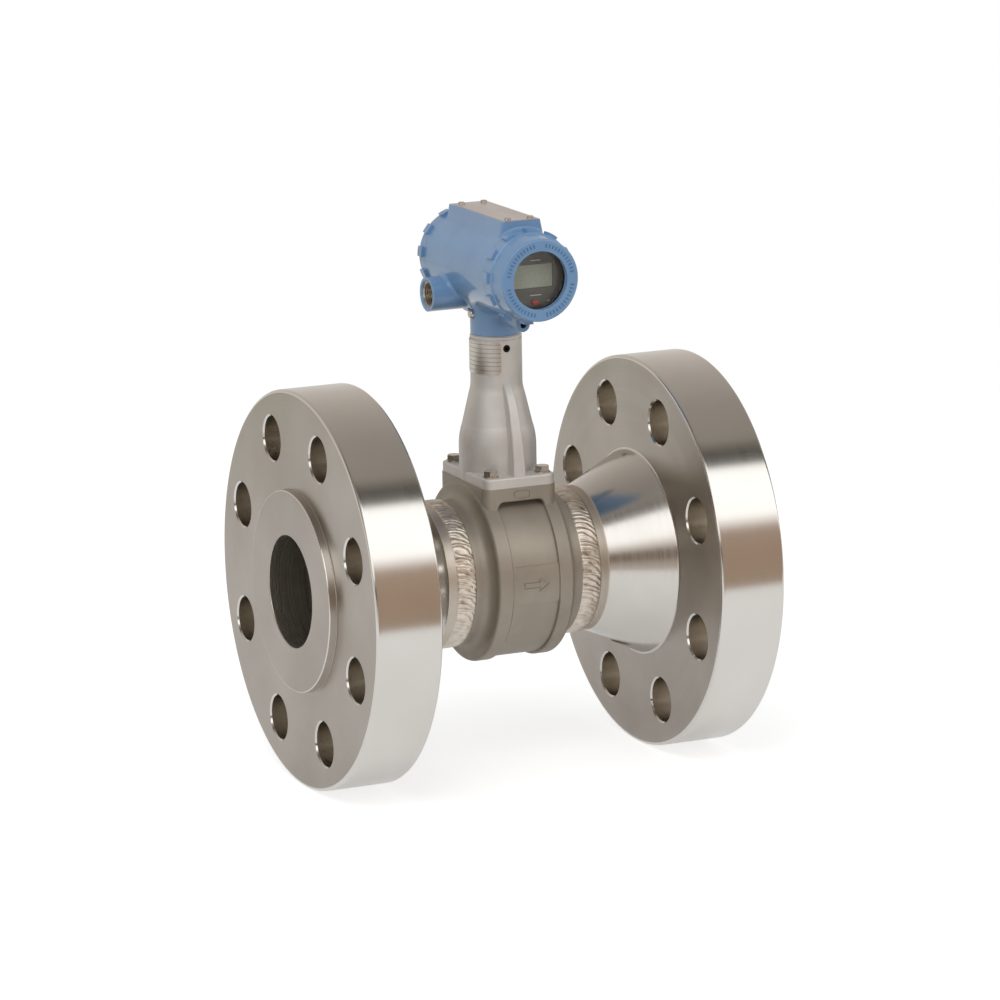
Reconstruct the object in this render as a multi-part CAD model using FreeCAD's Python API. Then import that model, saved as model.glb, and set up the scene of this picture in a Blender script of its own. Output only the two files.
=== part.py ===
import FreeCAD, Part
import math
import os
from FreeCAD import Rotation, Vector

# Flanged vortex flow meter, in millimetres.
# The pipe runs along X from the inlet face at the origin, the stem stands along Z
# and the display looks towards -Y.

# Flanges, one forging each
flange_od = 311.2
flange_thickness = 53.8
flange_edge_round = 2.5
face_od = 157.2
face_height = 6.4
bolt_circle = 241.3
bolt_hole_d = 34.9
bolt_count = 8
hub_base_d = 162.0
hub_length = 48.8
hub_root_round = 1.2
land_length = 6.8
pipe_od = 114.3
bore_d = 87.3

# Butt welds between flanges and meter body
weld_width = 16.0
weld_root = 3.0
weld_crown = 1.6

# Meter body casting
body_length = 90.4
rim_od = 142.0
rims_width = 64.0
rim_wall = 12.5
rim_edge_round = 2.5
neck_round = 8.0
band_depth = 2.2
band_edge_round = 1.0
bore_step = 0.65
pad_rise = 1.3
pad_length = 62.0
pad_width = 88.0
pad_corner = 8.0
pad_plate = 11.3
pad_lip_round = 2.0
pad_mark_length = 14.0
pad_mark_height = 6.4
pad_mark_line = 0.8
pad_mark_round = 3.0
pad_mark_depth = 0.5
window_corner = 5.0
arrow_pad_height = 30.0
arrow_pad_rise = 0.9
arrow_length = 21.7
arrow_head_length = 8.8
arrow_head_height = 11.4
arrow_tail_height = 5.3
arrow_line = 1.0
arrow_depth = 0.6

# Shedder bar and sensor
bar_front_width = 23.5
bar_front_depth = 5.5
bar_length = 30.0
bar_waist_width = 12.0
bar_tail_width = 9.0
bar_seat_depth = 6.0
bar_head_d = 44.0
bar_head_thickness = 6.0
bar_head_drop = 6.0
sensor_pin_d = 7.0
sensor_pin_length = 8.0
sensor_flange_d = 24.0
sensor_flange_thickness = 4.0
sensor_stem_d = 14.0
sensor_stem_length = 18.0
nut_across_flats = 30.0
nut_height = 14.0
cable_d = 5.0
connector_d = 13.0
connector_length = 12.0
connector_gap = 2.5

# Support tube casting
foot_length = 60.0
foot_thickness = 8.2
foot_corner = 7.0
foot_bolt_x = 21.8
foot_bolt_y = 34.8
foot_bolt_d = 6.0
foot_bolt_reach = 10.0
foot_bolt_flats = 10.0
foot_bolt_head = 4.2
foot_washer_od = 12.6
foot_washer_thickness = 1.0
foot_edge_round = 1.8
tube_base_d = 60.6
tube_waist_d = 43.2
tube_top_d = 40.4
tube_height = 114.9
shoulder_height = 25.7
shoulder_roll = 18.0
shoulder_inset = 2.9
cone_height = 68.7
cone_roll = 9.0
cone_bow = 0.35
tube_top_bevel = 1.6
tube_groove_drop = 4.0
tube_groove_width = 1.0
tube_groove_depth = 0.7
rib_base_reach = 42.0
rib_height = 69.5
rib_base_thickness = 10.6
rib_top_thickness = 7.0
rib_edge_round = 1.6
rib_curve = ((0, 0), (0.09, 0.25), (0.27, 0.52), (0.62, 0.83), (1, 1))    # shares of its reach and its rise
well_d = 38.0
well_height = 14.0
cable_duct_d = 24.0
tag_drop = 5.7
tag_height = 31.0
tag_thickness = 0.6
tag_half_angle = 66.0
lock_screw_d = 6.0
lock_screw_drop = 10.2
lock_screw_count = 3
lock_socket_depth = 2.6

# Electronics housing casting
head_rise = 53.0
barrel_d = 69.0
compartment_d = 52.0
barrel_front_y = -55.0
barrel_rear_y = 56.0
cover_neck_d = 59.0
front_neck_length = 14.0
rear_neck_length = 9.0
web_y = 9.5
web_thickness = 4.0
neck_d = 39.5
neck_flare = 6.0
spigot_d = 32.0
spigot_length = 21.0
cable_hole_d = 18.0
screw_groove_width = 7.0
screw_groove_depth = 1.6
conduit_y = 24.5
conduit_drop = 23.5
conduit_reach = 47.0
conduit_od = 26.8
conduit_thread_d = 20.4
conduit_thread_depth = 24.0
conduit_wire_d = 15.0
conduit_wire_depth = 36.0
conduit_chamfer = 1.0
plate_pad_width = 32.0
plate_pad_base_width = 37.0
plate_pad_front_y = -51.5
plate_pad_rear_y = 50.0
plate_pad_rise = 41.4
plate_pad_corner = 2.0
plate_pad_root_round = 3.0
boss_root_round = 3.0
lug_d = 11.4
lug_drop = 39.5
lug_length = 13.0
lug_setback = 3.0
lug_edge_round = 1.2

# Plates, screws and seals of the head
nameplate_side_margin = 1.5
nameplate_front_margin = 0.6
nameplate_rear_margin = 5.5
nameplate_thickness = 0.6
nameplate_screw_x = 9.5
nameplate_screw_inset = 4.8
nameplate_screw_d = 2.5
nameplate_screw_head_d = 5.2
nameplate_screw_head = 1.8
nameplate_screw_length = 4.0
seal_section = 2.2
neck_seal_rise = 5.0
cover_lock_screw_d = 5.0
cover_lock_screw_length = 8.0
cover_lock_screw_recess = 2.5
cover_lock_socket_depth = 3.0
ground_screw_d = 4.0
ground_screw_head_d = 7.5
ground_screw_head = 3.0
ground_screw_length = 7.0
ground_screw_rise = 15.8

# Display and electronics
module_length = 67.5
bezel_thickness = 8.0
bezel_edge_round = 1.0
lcd_width = 35.0
lcd_height = 18.0
lcd_rise = 0.8
lcd_recess = 1.2
bezel_lip = 1.5
jumper_x = 2.0
jumper_edge = 6.1
jumper_width = 4.6
jumper_height = 3.0
jumper_stand = 2.5
jumper_edge_round = 0.5
display_screw_d = 2.5
display_screw_head_d = 4.2
display_screw_head = 1.4
display_screw_edge = 4.0
display_screw_angle = 40.0
terminal_depth = 20.0
terminal_floor_rise = 11.0
terminal_pitch = 10.0
terminal_row_rise = 4.0
terminal_screw_d = 3.5
terminal_screw_head_d = 7.0
terminal_screw_head = 2.6
terminal_screw_length = 8.0
terminal_count = 4
barrier_thickness = 1.4
barrier_stand = 3.0
barrier_height = 10.0
inner_ground_drop = 17.0

# Covers
collar_d = 69.0
lug_ring_d = 73.6
cover_lug_count = 12
cover_lug_share = 0.42
front_lug_phase = -3.3
rear_lug_phase = 0.0
cover_lug_root = 2.0
front_collar_length = 12.0
front_collar_lug_start = 1.5
front_nose_d = 66.6
front_ring_d = 63.6
front_collar_bevel = 1.0
front_cover_length = 29.0
front_ring_round = 1.8
window_d = 45.0
window_lip = 5.0
glass_d = 52.6
glass_thickness = 6.0
retainer_thickness = 2.7
retainer_bore_d = 45.6
rear_cover_length = 12.0
rear_collar_length = 10.0
rear_cover_end = 3.2
rear_ring_d = 63.6
rear_crown = 1.6
rear_crown_d = 31.8

# Screw heads: the bevel of a hexagon in degrees, the round of a pan head as a share of its height
hexagon_bevel = 30.0
pan_round = 0.45

# Clearances
fit_gap = 0.1
cover_gap = 0.3
seat_gap = 0.3
seal_gap = 0.3
module_gap = 0.5
round_gap = 0.2

# Places that follow from the sizes
flange_length = face_height + flange_thickness + hub_length + land_length
body_start_x = flange_length + weld_width
stem_x = body_start_x + body_length / 2
face_to_face = 2 * stem_x
rims_start_x = stem_x - rims_width / 2
band_start_x = rims_start_x + rim_wall
band_end_x = rims_start_x + rims_width - rim_wall
bore_r = bore_d / 2
body_bore_r = bore_r - bore_step
bar_low_z = -body_bore_r - bar_seat_depth
pipe_r = pipe_od / 2
rim_r = rim_od / 2
weld_bevel = (weld_width - weld_root) / 2
band_r = rim_r - band_depth
neck_fillet_r = min(neck_round, rim_r - pipe_r - rim_edge_round - round_gap)
pad_top_z = rim_r + pad_rise
window_top_z = pad_top_z - pad_plate
bar_head_top_z = pad_top_z - bar_head_drop
foot_top_z = pad_top_z + foot_thickness
shoulder_z = pad_top_z + shoulder_height
cone_top_z = pad_top_z + cone_height
rib_top_z = foot_top_z + rib_height
tube_top_z = pad_top_z + tube_height
tube_groove_z = tube_top_z - tube_groove_drop
lock_screw_z = tube_top_z - lock_screw_drop
head_z = tube_top_z + head_rise
ground_screw_z = tube_top_z + ground_screw_rise
tube_r = tube_top_d / 2
stem_base = Vector(stem_x, 0, 0)
head_axis = Vector(stem_x, 0, head_z)
x_axis = Vector(1, 0, 0)
y_axis = Vector(0, 1, 0)
z_axis = Vector(0, 0, 1)


def cylinder(radius, length, base, direction):
    return Part.makeCylinder(radius, length, base, direction)


def solid_of(shape):
    """Give back one clean solid, or a compound if there are several."""
    shape = shape.removeSplitter()
    if len(shape.Solids) == 1:
        return shape.Solids[0]
    return Part.makeCompound(shape.Solids)


def polygon_face(points):
    return Part.Face(Part.makePolygon(points + points[:1]))


def revolve_x(profile):
    """Turn a profile of (x, radius) points about the pipe axis."""
    face = polygon_face([Vector(x, 0, radius) for x, radius in profile])
    return face.revolve(Vector(0, 0, 0), x_axis, 360)


def revolve_z(profile):
    """Turn a profile of (radius, z) points about the stem."""
    face = polygon_face([Vector(stem_x + radius, 0, z) for radius, z in profile])
    return face.revolve(stem_base, z_axis, 360)


def revolve_y(profile):
    """Turn a profile of (y, radius) points about the head's axis."""
    face = polygon_face([Vector(stem_x + radius, y, head_z) for y, radius in profile])
    return face.revolve(head_axis, y_axis, 360)


def round_edges(shape, radius, wanted):
    edges = [edge for edge in shape.Edges if wanted(edge)]
    return shape.makeFillet(radius, edges)


def is_ring(edge, axis, radius, place):
    """True for a full circle of this radius about one of the main axes."""
    if not isinstance(edge.Curve, Part.Circle):
        return False
    centre = edge.Curve.Center
    along = {"x": centre.x, "y": centre.y, "z": centre.z}[axis]
    direction = {"x": x_axis, "y": y_axis, "z": z_axis}[axis]
    is_parallel = abs(abs(edge.Curve.Axis.dot(direction)) - 1) < 1e-6
    return is_parallel and abs(edge.Curve.Radius - radius) < 1e-4 and abs(along - place) < 1e-4


def lies_on(edge, point, direction, radius):
    """True if the whole edge lies on the cylinder of this radius about this axis."""
    step = (edge.LastParameter - edge.FirstParameter) / 4
    places = [edge.valueAt(edge.FirstParameter + step * index) for index in range(5)]
    return all(abs((place - point).cross(direction).Length - radius) < 1e-3 for place in places)


def rounded_block(length, width, corner, low_z, high_z):
    """Upright block about the stem, with round upright corners."""
    block = Part.makeBox(length, width, high_z - low_z, Vector(stem_x - length / 2, -width / 2, low_z))
    upright = [edge for edge in block.Edges if abs(edge.tangentAt(edge.FirstParameter).z) > 0.99]
    return block.makeFillet(corner, upright)


def hexagon_prism(across_flats, height, base, direction):
    """Hexagonal prism that rises from base along direction."""
    corner_r = across_flats / math.sqrt(3)
    corners = [Vector(corner_r, 0, 0)]
    for step in range(1, 6):
        corners.append(Rotation(z_axis, 60 * step).multVec(corners[0]))
    prism = polygon_face(corners).extrude(Vector(0, 0, height))
    prism.Placement = FreeCAD.Placement(base, Rotation(z_axis, direction))
    return prism


def hexagon_head(across_flats, height, base, direction):
    """Hexagon with its outer corners turned down to a cone, as on bolts and nuts."""
    slope = math.tan(math.radians(hexagon_bevel))
    top_r = across_flats / 2
    cone = Part.makeCone(top_r + height / slope, top_r, height, base, direction)
    return hexagon_prism(across_flats, height, base, direction).common(cone)


def mirrored(shape):
    """The same piece on the outlet side."""
    return shape.mirror(stem_base, x_axis)


def flange():
    """Inlet flange: raised face, plate, tapered hub and bevelled weld end."""
    plate_start = face_height
    plate_end = plate_start + flange_thickness
    hub_end = plate_end + hub_length
    flange_r = flange_od / 2
    hub_r = hub_base_d / 2
    shape = revolve_x([
        (0, bore_r),
        (0, face_od / 2),
        (plate_start, face_od / 2),
        (plate_start, flange_r),
        (plate_end, flange_r),
        (plate_end, hub_r),
        (hub_end, pipe_r),
        (flange_length, pipe_r),
        (flange_length + weld_bevel, bore_r),
    ])
    shape = round_edges(shape, flange_edge_round, lambda edge: (
        is_ring(edge, "x", flange_r, plate_start) or is_ring(edge, "x", flange_r, plate_end)))
    shape = round_edges(shape, hub_root_round, lambda edge: is_ring(edge, "x", hub_r, plate_end))
    for index in range(bolt_count):
        angle = math.radians(360 / bolt_count * (index + 0.5))
        centre = Vector(plate_start, bolt_circle / 2 * math.cos(angle), bolt_circle / 2 * math.sin(angle))
        shape = shape.cut(cylinder(bolt_hole_d / 2, flange_thickness, centre, x_axis))
    return solid_of(shape)


def weld():
    """Inlet weld: a ring that fills the V between the bevels, with a crowned top."""
    start = Vector(flange_length, 0, pipe_r)
    crown = Vector(flange_length + weld_width / 2, 0, pipe_r + weld_crown)
    end = Vector(body_start_x, 0, pipe_r)
    root_end = Vector(body_start_x - weld_bevel, 0, bore_r)
    root_start = Vector(flange_length + weld_bevel, 0, bore_r)
    outline = Part.Wire([
        Part.Arc(start, crown, end).toShape(),
        Part.makeLine(end, root_end),
        Part.makeLine(root_end, root_start),
        Part.makeLine(root_start, start),
    ])
    return solid_of(Part.Face(outline).revolve(Vector(0, 0, 0), x_axis, 360))


def bar_section(z, gap):
    """T-shaped section of the shedder bar at height z, grown by a gap."""
    front_x = stem_x - bar_length / 2 - gap
    shoulder_x = stem_x - bar_length / 2 + bar_front_depth + gap
    tail_x = stem_x + bar_length / 2 + gap
    half_front = bar_front_width / 2 + gap
    half_waist = bar_waist_width / 2 + gap
    half_tail = bar_tail_width / 2 + gap
    near_side = [
        Vector(front_x, -half_front, z),
        Vector(shoulder_x, -half_front, z),
        Vector(shoulder_x, -half_waist, z),
        Vector(tail_x, -half_tail, z),
    ]
    far_side = [Vector(point.x, -point.y, z) for point in reversed(near_side)]
    return polygon_face(near_side + far_side)


def arrow_outline(inset):
    """Flow arrow in the plane of X and Z, pointing downstream, shrunk by inset."""
    head_half = arrow_head_height / 2
    slope = math.atan2(head_half, arrow_head_length)
    tip_x = stem_x + arrow_length / 2 - inset / math.sin(slope)
    neck_x = stem_x + arrow_length / 2 - arrow_head_length + inset
    tail_x = stem_x - arrow_length / 2 + inset
    tail_half = arrow_tail_height / 2 - inset
    corner_half = (tip_x - neck_x) * math.tan(slope)
    upper = [
        Vector(tail_x, -rim_od, tail_half),
        Vector(neck_x, -rim_od, tail_half),
        Vector(neck_x, -rim_od, corner_half),
        Vector(tip_x, -rim_od, 0),
    ]
    lower = [Vector(point.x, point.y, -point.z) for point in reversed(upper[:3])]
    return polygon_face(upper + lower).extrude(Vector(0, rim_od, 0))


def arrow_pad():
    """Raised pad between the rims on the display side, with the arrow sunk in it."""
    width = band_end_x - band_start_x
    pad_r = band_r + arrow_pad_rise
    ring = cylinder(pad_r, width, Vector(band_start_x, 0, 0), x_axis)
    slab = Part.makeBox(width, rim_r, arrow_pad_height, Vector(band_start_x, -rim_r, -arrow_pad_height / 2))
    pad = ring.common(slab)
    line = arrow_outline(0).cut(arrow_outline(arrow_line))
    sunk = line.cut(cylinder(pad_r - arrow_depth, face_to_face, Vector(0, 0, 0), x_axis))
    return pad.cut(sunk)


def pad_mark():
    """Rounded outline sunk in the pad's front, where a plant may paint its own number."""
    low_z = (pad_top_z + window_top_z) / 2 - pad_mark_height / 2

    def block(inset):
        length = pad_mark_length - 2 * inset
        height = pad_mark_height - 2 * inset
        corner = Vector(stem_x - length / 2, -pad_width / 2, low_z + inset)
        box = Part.makeBox(length, pad_mark_depth, height, corner)
        ends = [edge for edge in box.Edges if abs(edge.tangentAt(edge.FirstParameter).y) > 0.99]
        return box.makeFillet(pad_mark_round - inset, ends)

    return block(0).cut(block(pad_mark_line))


def tube_pad():
    """Plate that the tube stands on: a cheek on each rim and a window over the band."""
    block = rounded_block(pad_length, pad_width, pad_corner, 0, pad_top_z)
    width = band_end_x - band_start_x
    window = Part.makeBox(width, 2 * pad_width, window_top_z, Vector(band_start_x, -pad_width, 0))
    window = round_edges(window, window_corner, lambda edge: (
        abs(edge.CenterOfMass.z - window_top_z) < 1e-6 and abs(edge.tangentAt(edge.FirstParameter).y) > 0.99))
    block = block.cut(window)
    block = round_edges(block, pad_lip_round, lambda edge: (
        abs(abs(edge.CenterOfMass.y) - pad_width / 2) < 1e-6
        and edge.BoundBox.XMin > band_start_x - 1e-3
        and edge.BoundBox.XMax < band_end_x + 1e-3
        and edge.BoundBox.ZMax < window_top_z + 1e-3))
    return block.cut(pad_mark())


def foot_bolt_places():
    return [(stem_x + side_x * foot_bolt_x, side_y * foot_bolt_y)
            for side_x in (-1, 1) for side_y in (-1, 1)]


def meter_body():
    """The casting in the middle: bore, weld necks, two rims, pad and sensor well."""
    body_end_x = body_start_x + body_length
    rims_end_x = rims_start_x + rims_width
    outer = revolve_x([
        (body_start_x - weld_bevel, 0),
        (body_start_x - weld_bevel, bore_r),
        (body_start_x, pipe_r),
        (rims_start_x, pipe_r),
        (rims_start_x, rim_r),
        (band_start_x, rim_r),
        (band_start_x, band_r),
        (band_end_x, band_r),
        (band_end_x, rim_r),
        (rims_end_x, rim_r),
        (rims_end_x, pipe_r),
        (body_end_x, pipe_r),
        (body_end_x + weld_bevel, bore_r),
        (body_end_x + weld_bevel, 0),
    ])
    outer = round_edges(outer, neck_fillet_r, lambda edge: (
        is_ring(edge, "x", pipe_r, rims_start_x) or is_ring(edge, "x", pipe_r, rims_end_x)))
    outer = round_edges(outer, rim_edge_round, lambda edge: (
        is_ring(edge, "x", rim_r, rims_start_x) or is_ring(edge, "x", rim_r, rims_end_x)))
    outer = round_edges(outer, band_edge_round, lambda edge: (
        is_ring(edge, "x", rim_r, band_start_x) or is_ring(edge, "x", rim_r, band_end_x)))
    shape = outer.fuse(tube_pad()).fuse(arrow_pad())
    through = body_length + 2 * weld_bevel
    shape = shape.cut(cylinder(body_bore_r, through, Vector(body_start_x - weld_bevel, 0, 0), x_axis))
    slot = bar_section(bar_low_z, fit_gap).extrude(Vector(0, 0, pad_top_z - bar_low_z))
    head_seat_z = bar_head_top_z - bar_head_thickness
    seat = cylinder(bar_head_d / 2 + fit_gap, pad_top_z - head_seat_z, Vector(stem_x, 0, head_seat_z), z_axis)
    shape = shape.cut(slot).cut(seat)
    for bolt_x, bolt_y in foot_bolt_places():
        hole_low_z = pad_top_z - foot_bolt_reach - seat_gap
        hole = cylinder(foot_bolt_d / 2, pad_top_z - hole_low_z, Vector(bolt_x, bolt_y, hole_low_z), z_axis)
        shape = shape.cut(hole)
    return solid_of(shape)


def shedder_bar():
    """Bar of T-shaped section across the bore, with a round head in the body's well."""
    head_low_z = bar_head_top_z - bar_head_thickness
    bar = bar_section(bar_low_z, 0).extrude(Vector(0, 0, bar_head_top_z - bar_low_z))
    head = cylinder(bar_head_d / 2, bar_head_thickness, Vector(stem_x, 0, head_low_z), z_axis)
    pin_low_z = bar_head_top_z - sensor_pin_length - seat_gap
    pin_hole = cylinder(sensor_pin_d / 2 + fit_gap, sensor_pin_length + seat_gap,
                        Vector(stem_x, 0, pin_low_z), z_axis)
    return solid_of(bar.fuse(head).cut(pin_hole))


def sensor_top_z():
    return bar_head_top_z + sensor_flange_thickness + sensor_stem_length


def sensor():
    flange_top_z = bar_head_top_z + sensor_flange_thickness
    return solid_of(revolve_z([
        (0, bar_head_top_z - sensor_pin_length),
        (sensor_pin_d / 2, bar_head_top_z - sensor_pin_length),
        (sensor_pin_d / 2, bar_head_top_z),
        (sensor_flange_d / 2, bar_head_top_z),
        (sensor_flange_d / 2, flange_top_z),
        (sensor_stem_d / 2, flange_top_z),
        (sensor_stem_d / 2, sensor_top_z()),
        (0, sensor_top_z()),
    ]))


def sensor_nut():
    """Gland nut: a round threaded end in the well under a hexagon."""
    flange_top_z = bar_head_top_z + sensor_flange_thickness
    thread = cylinder(bar_head_d / 2, pad_top_z - bar_head_top_z, Vector(stem_x, 0, bar_head_top_z), z_axis)
    hexagon = hexagon_head(nut_across_flats, nut_height - (pad_top_z - bar_head_top_z),
                           Vector(stem_x, 0, pad_top_z), z_axis)
    recess = cylinder(sensor_flange_d / 2 + fit_gap, sensor_flange_thickness,
                      Vector(stem_x, 0, bar_head_top_z), z_axis)
    hole = cylinder(sensor_stem_d / 2 + fit_gap, nut_height, Vector(stem_x, 0, flange_top_z), z_axis)
    return solid_of(thread.fuse(hexagon).cut(recess).cut(hole))


def connector_low_z():
    module_low_z = head_z - compartment_d / 2 + module_gap
    return module_low_z - connector_gap - connector_length


def sensor_cable():
    low_z = sensor_top_z()
    return cylinder(cable_d / 2, connector_low_z() - low_z, Vector(stem_x, 0, low_z), z_axis)


def sensor_connector():
    return cylinder(connector_d / 2, connector_length, Vector(stem_x, 0, connector_low_z()), z_axis)


def tube_outline():
    """Outer outline of the round part of the support tube, from foot to top."""
    base_r = tube_base_d / 2
    waist_r = tube_waist_d / 2

    def at(radius, z):
        return Vector(stem_x + radius, 0, z)

    roll_r = (shoulder_roll ** 2 + shoulder_inset ** 2) / (2 * shoulder_inset)
    half_turn = math.asin(shoulder_roll / roll_r) / 2
    shoulder_mid = at(base_r - roll_r * (1 - math.cos(half_turn)), shoulder_z + roll_r * math.sin(half_turn))
    shoulder_end = at(base_r - shoulder_inset, shoulder_z + shoulder_roll)
    blend_mid = at(tube_r + cone_bow, cone_top_z + cone_roll / 2)
    blend_end = at(tube_r, cone_top_z + cone_roll)
    return [
        Part.makeLine(at(0, pad_top_z), at(base_r, pad_top_z)),
        Part.makeLine(at(base_r, pad_top_z), at(base_r, shoulder_z)),
        Part.Arc(at(base_r, shoulder_z), shoulder_mid, shoulder_end).toShape(),
        Part.makeLine(shoulder_end, at(waist_r, cone_top_z)),
        Part.Arc(at(waist_r, cone_top_z), blend_mid, blend_end).toShape(),
        Part.makeLine(blend_end, at(tube_r, tube_groove_z)),
        Part.makeLine(at(tube_r, tube_groove_z), at(tube_r - tube_groove_depth, tube_groove_z)),
        Part.makeLine(at(tube_r - tube_groove_depth, tube_groove_z),
                      at(tube_r - tube_groove_depth, tube_groove_z + tube_groove_width)),
        Part.makeLine(at(tube_r - tube_groove_depth, tube_groove_z + tube_groove_width),
                      at(tube_r, tube_groove_z + tube_groove_width)),
        Part.makeLine(at(tube_r, tube_groove_z + tube_groove_width), at(tube_r, tube_top_z - tube_top_bevel)),
        Part.makeLine(at(tube_r, tube_top_z - tube_top_bevel), at(tube_r - tube_top_bevel, tube_top_z)),
        Part.makeLine(at(tube_r - tube_top_bevel, tube_top_z), at(0, tube_top_z)),
        Part.makeLine(at(0, tube_top_z), at(0, pad_top_z)),
    ]


def tube_ribs():
    """The two ribs across the pipe, thick at the foot and thin at the top."""
    rise = rib_top_z - foot_top_z
    reach = rib_base_reach - tube_r
    outer = [Vector(stem_x, rib_base_reach - reach * along, foot_top_z + rise * up)
             for along, up in rib_curve]
    curve = Part.BSplineCurve()
    curve.interpolate(outer)
    far_side = curve.toShape()
    near_side = far_side.mirror(stem_base, y_axis)
    foot_left = Vector(stem_x, -rib_base_reach, foot_top_z)
    foot_right = Vector(stem_x, rib_base_reach, foot_top_z)
    top_left = Vector(stem_x, -tube_r, rib_top_z)
    top_right = Vector(stem_x, tube_r, rib_top_z)
    side = Part.Face(Part.Wire([
        far_side,
        Part.makeLine(top_right, top_left),
        near_side,
        Part.makeLine(foot_left, foot_right),
    ]))
    side.translate(Vector(-rib_base_thickness / 2, 0, 0))
    plate = side.extrude(Vector(rib_base_thickness, 0, 0))
    wedge = polygon_face([
        Vector(stem_x - rib_base_thickness / 2, -rib_base_reach, foot_top_z),
        Vector(stem_x + rib_base_thickness / 2, -rib_base_reach, foot_top_z),
        Vector(stem_x + rib_top_thickness / 2, -rib_base_reach, rib_top_z),
        Vector(stem_x - rib_top_thickness / 2, -rib_base_reach, rib_top_z),
    ]).extrude(Vector(0, 2 * rib_base_reach, 0))
    plate = plate.common(wedge)
    return round_edges(plate, rib_edge_round, lambda edge: (
        not isinstance(edge.Curve, Part.Line) and edge.BoundBox.ZLength > rise / 2))


def tube_screw_angles():
    return [-90 + 360 / lock_screw_count * index for index in range(lock_screw_count)]


def outward(angle):
    return Vector(math.cos(math.radians(angle)), math.sin(math.radians(angle)), 0)


def support_tube():
    """Casting that stands on the pad and carries the head, hollow for the sensor lead."""
    round_part = Part.Face(Part.Wire(tube_outline())).revolve(stem_base, z_axis, 360)
    foot = rounded_block(foot_length, pad_width, foot_corner, pad_top_z, foot_top_z)
    foot = round_edges(foot, foot_edge_round, lambda edge: abs(edge.BoundBox.ZMin - foot_top_z) < 1e-6)
    shape = round_part.fuse(foot).fuse(tube_ribs())
    spigot_low_z = tube_top_z - spigot_length - seat_gap
    hollow = revolve_z([
        (0, pad_top_z),
        (well_d / 2, pad_top_z),
        (well_d / 2, pad_top_z + well_height),
        (cable_duct_d / 2, cone_top_z),
        (cable_duct_d / 2, spigot_low_z),
        (spigot_d / 2 + fit_gap, spigot_low_z),
        (spigot_d / 2 + fit_gap, tube_top_z),
        (0, tube_top_z),
    ])
    shape = shape.cut(hollow)
    for bolt_x, bolt_y in foot_bolt_places():
        hole = cylinder(foot_bolt_d / 2 + seat_gap, foot_thickness, Vector(bolt_x, bolt_y, pad_top_z), z_axis)
        shape = shape.cut(hole)
    for angle in tube_screw_angles():
        hole = cylinder(lock_screw_d / 2, tube_top_d, Vector(stem_x, 0, lock_screw_z), outward(angle))
        shape = shape.cut(hole)
    return solid_of(shape)


def support_tube_bolts():
    """Four hexagon bolts through foot and washer into the pad."""
    bolts = []
    shank_d = foot_bolt_d - 2 * fit_gap
    for bolt_x, bolt_y in foot_bolt_places():
        head_z_low = foot_top_z + foot_washer_thickness
        shank_low_z = pad_top_z - foot_bolt_reach
        shank = cylinder(shank_d / 2, head_z_low - shank_low_z, Vector(bolt_x, bolt_y, shank_low_z), z_axis)
        head = hexagon_head(foot_bolt_flats, foot_bolt_head, Vector(bolt_x, bolt_y, head_z_low), z_axis)
        bolts.append(solid_of(shank.fuse(head)))
    return Part.makeCompound(bolts)


def support_tube_washers():
    washers = []
    for bolt_x, bolt_y in foot_bolt_places():
        base = Vector(bolt_x, bolt_y, foot_top_z)
        disc = cylinder(foot_washer_od / 2, foot_washer_thickness, base, z_axis)
        washers.append(disc.cut(cylinder(foot_bolt_d / 2 + fit_gap, foot_washer_thickness, base, z_axis)))
    return Part.makeCompound(washers)


def tube_tag():
    """Thin bare plate bent round the side of the tube."""
    base = Vector(stem_x, 0, tube_top_z - tag_drop - tag_height)
    angle = 2 * tag_half_angle
    inner_r = tube_r + fit_gap
    outer = Part.makeCylinder(inner_r + tag_thickness, tag_height, base, z_axis, angle)
    inner = Part.makeCylinder(inner_r, tag_height, base, z_axis, angle)
    plate = outer.cut(inner)
    plate.rotate(stem_base, z_axis, 180 - tag_half_angle)
    return solid_of(plate)


def tube_lock_screws():
    """Set screws through the tube's wall into the groove of the spigot."""
    screws = []
    groove_r = spigot_d / 2 - screw_groove_depth
    for angle in tube_screw_angles():
        direction = outward(angle)
        start = Vector(stem_x, 0, lock_screw_z) + direction * (groove_r + seat_gap)
        length = tube_r - seat_gap - groove_r - seat_gap
        screw = cylinder(lock_screw_d / 2 - fit_gap, length, start, direction)
        socket = hexagon_prism(lock_screw_d / 2, lock_socket_depth,
                               start + direction * (length - lock_socket_depth), direction)
        screws.append(solid_of(screw.cut(socket)))
    return Part.makeCompound(screws)


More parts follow.
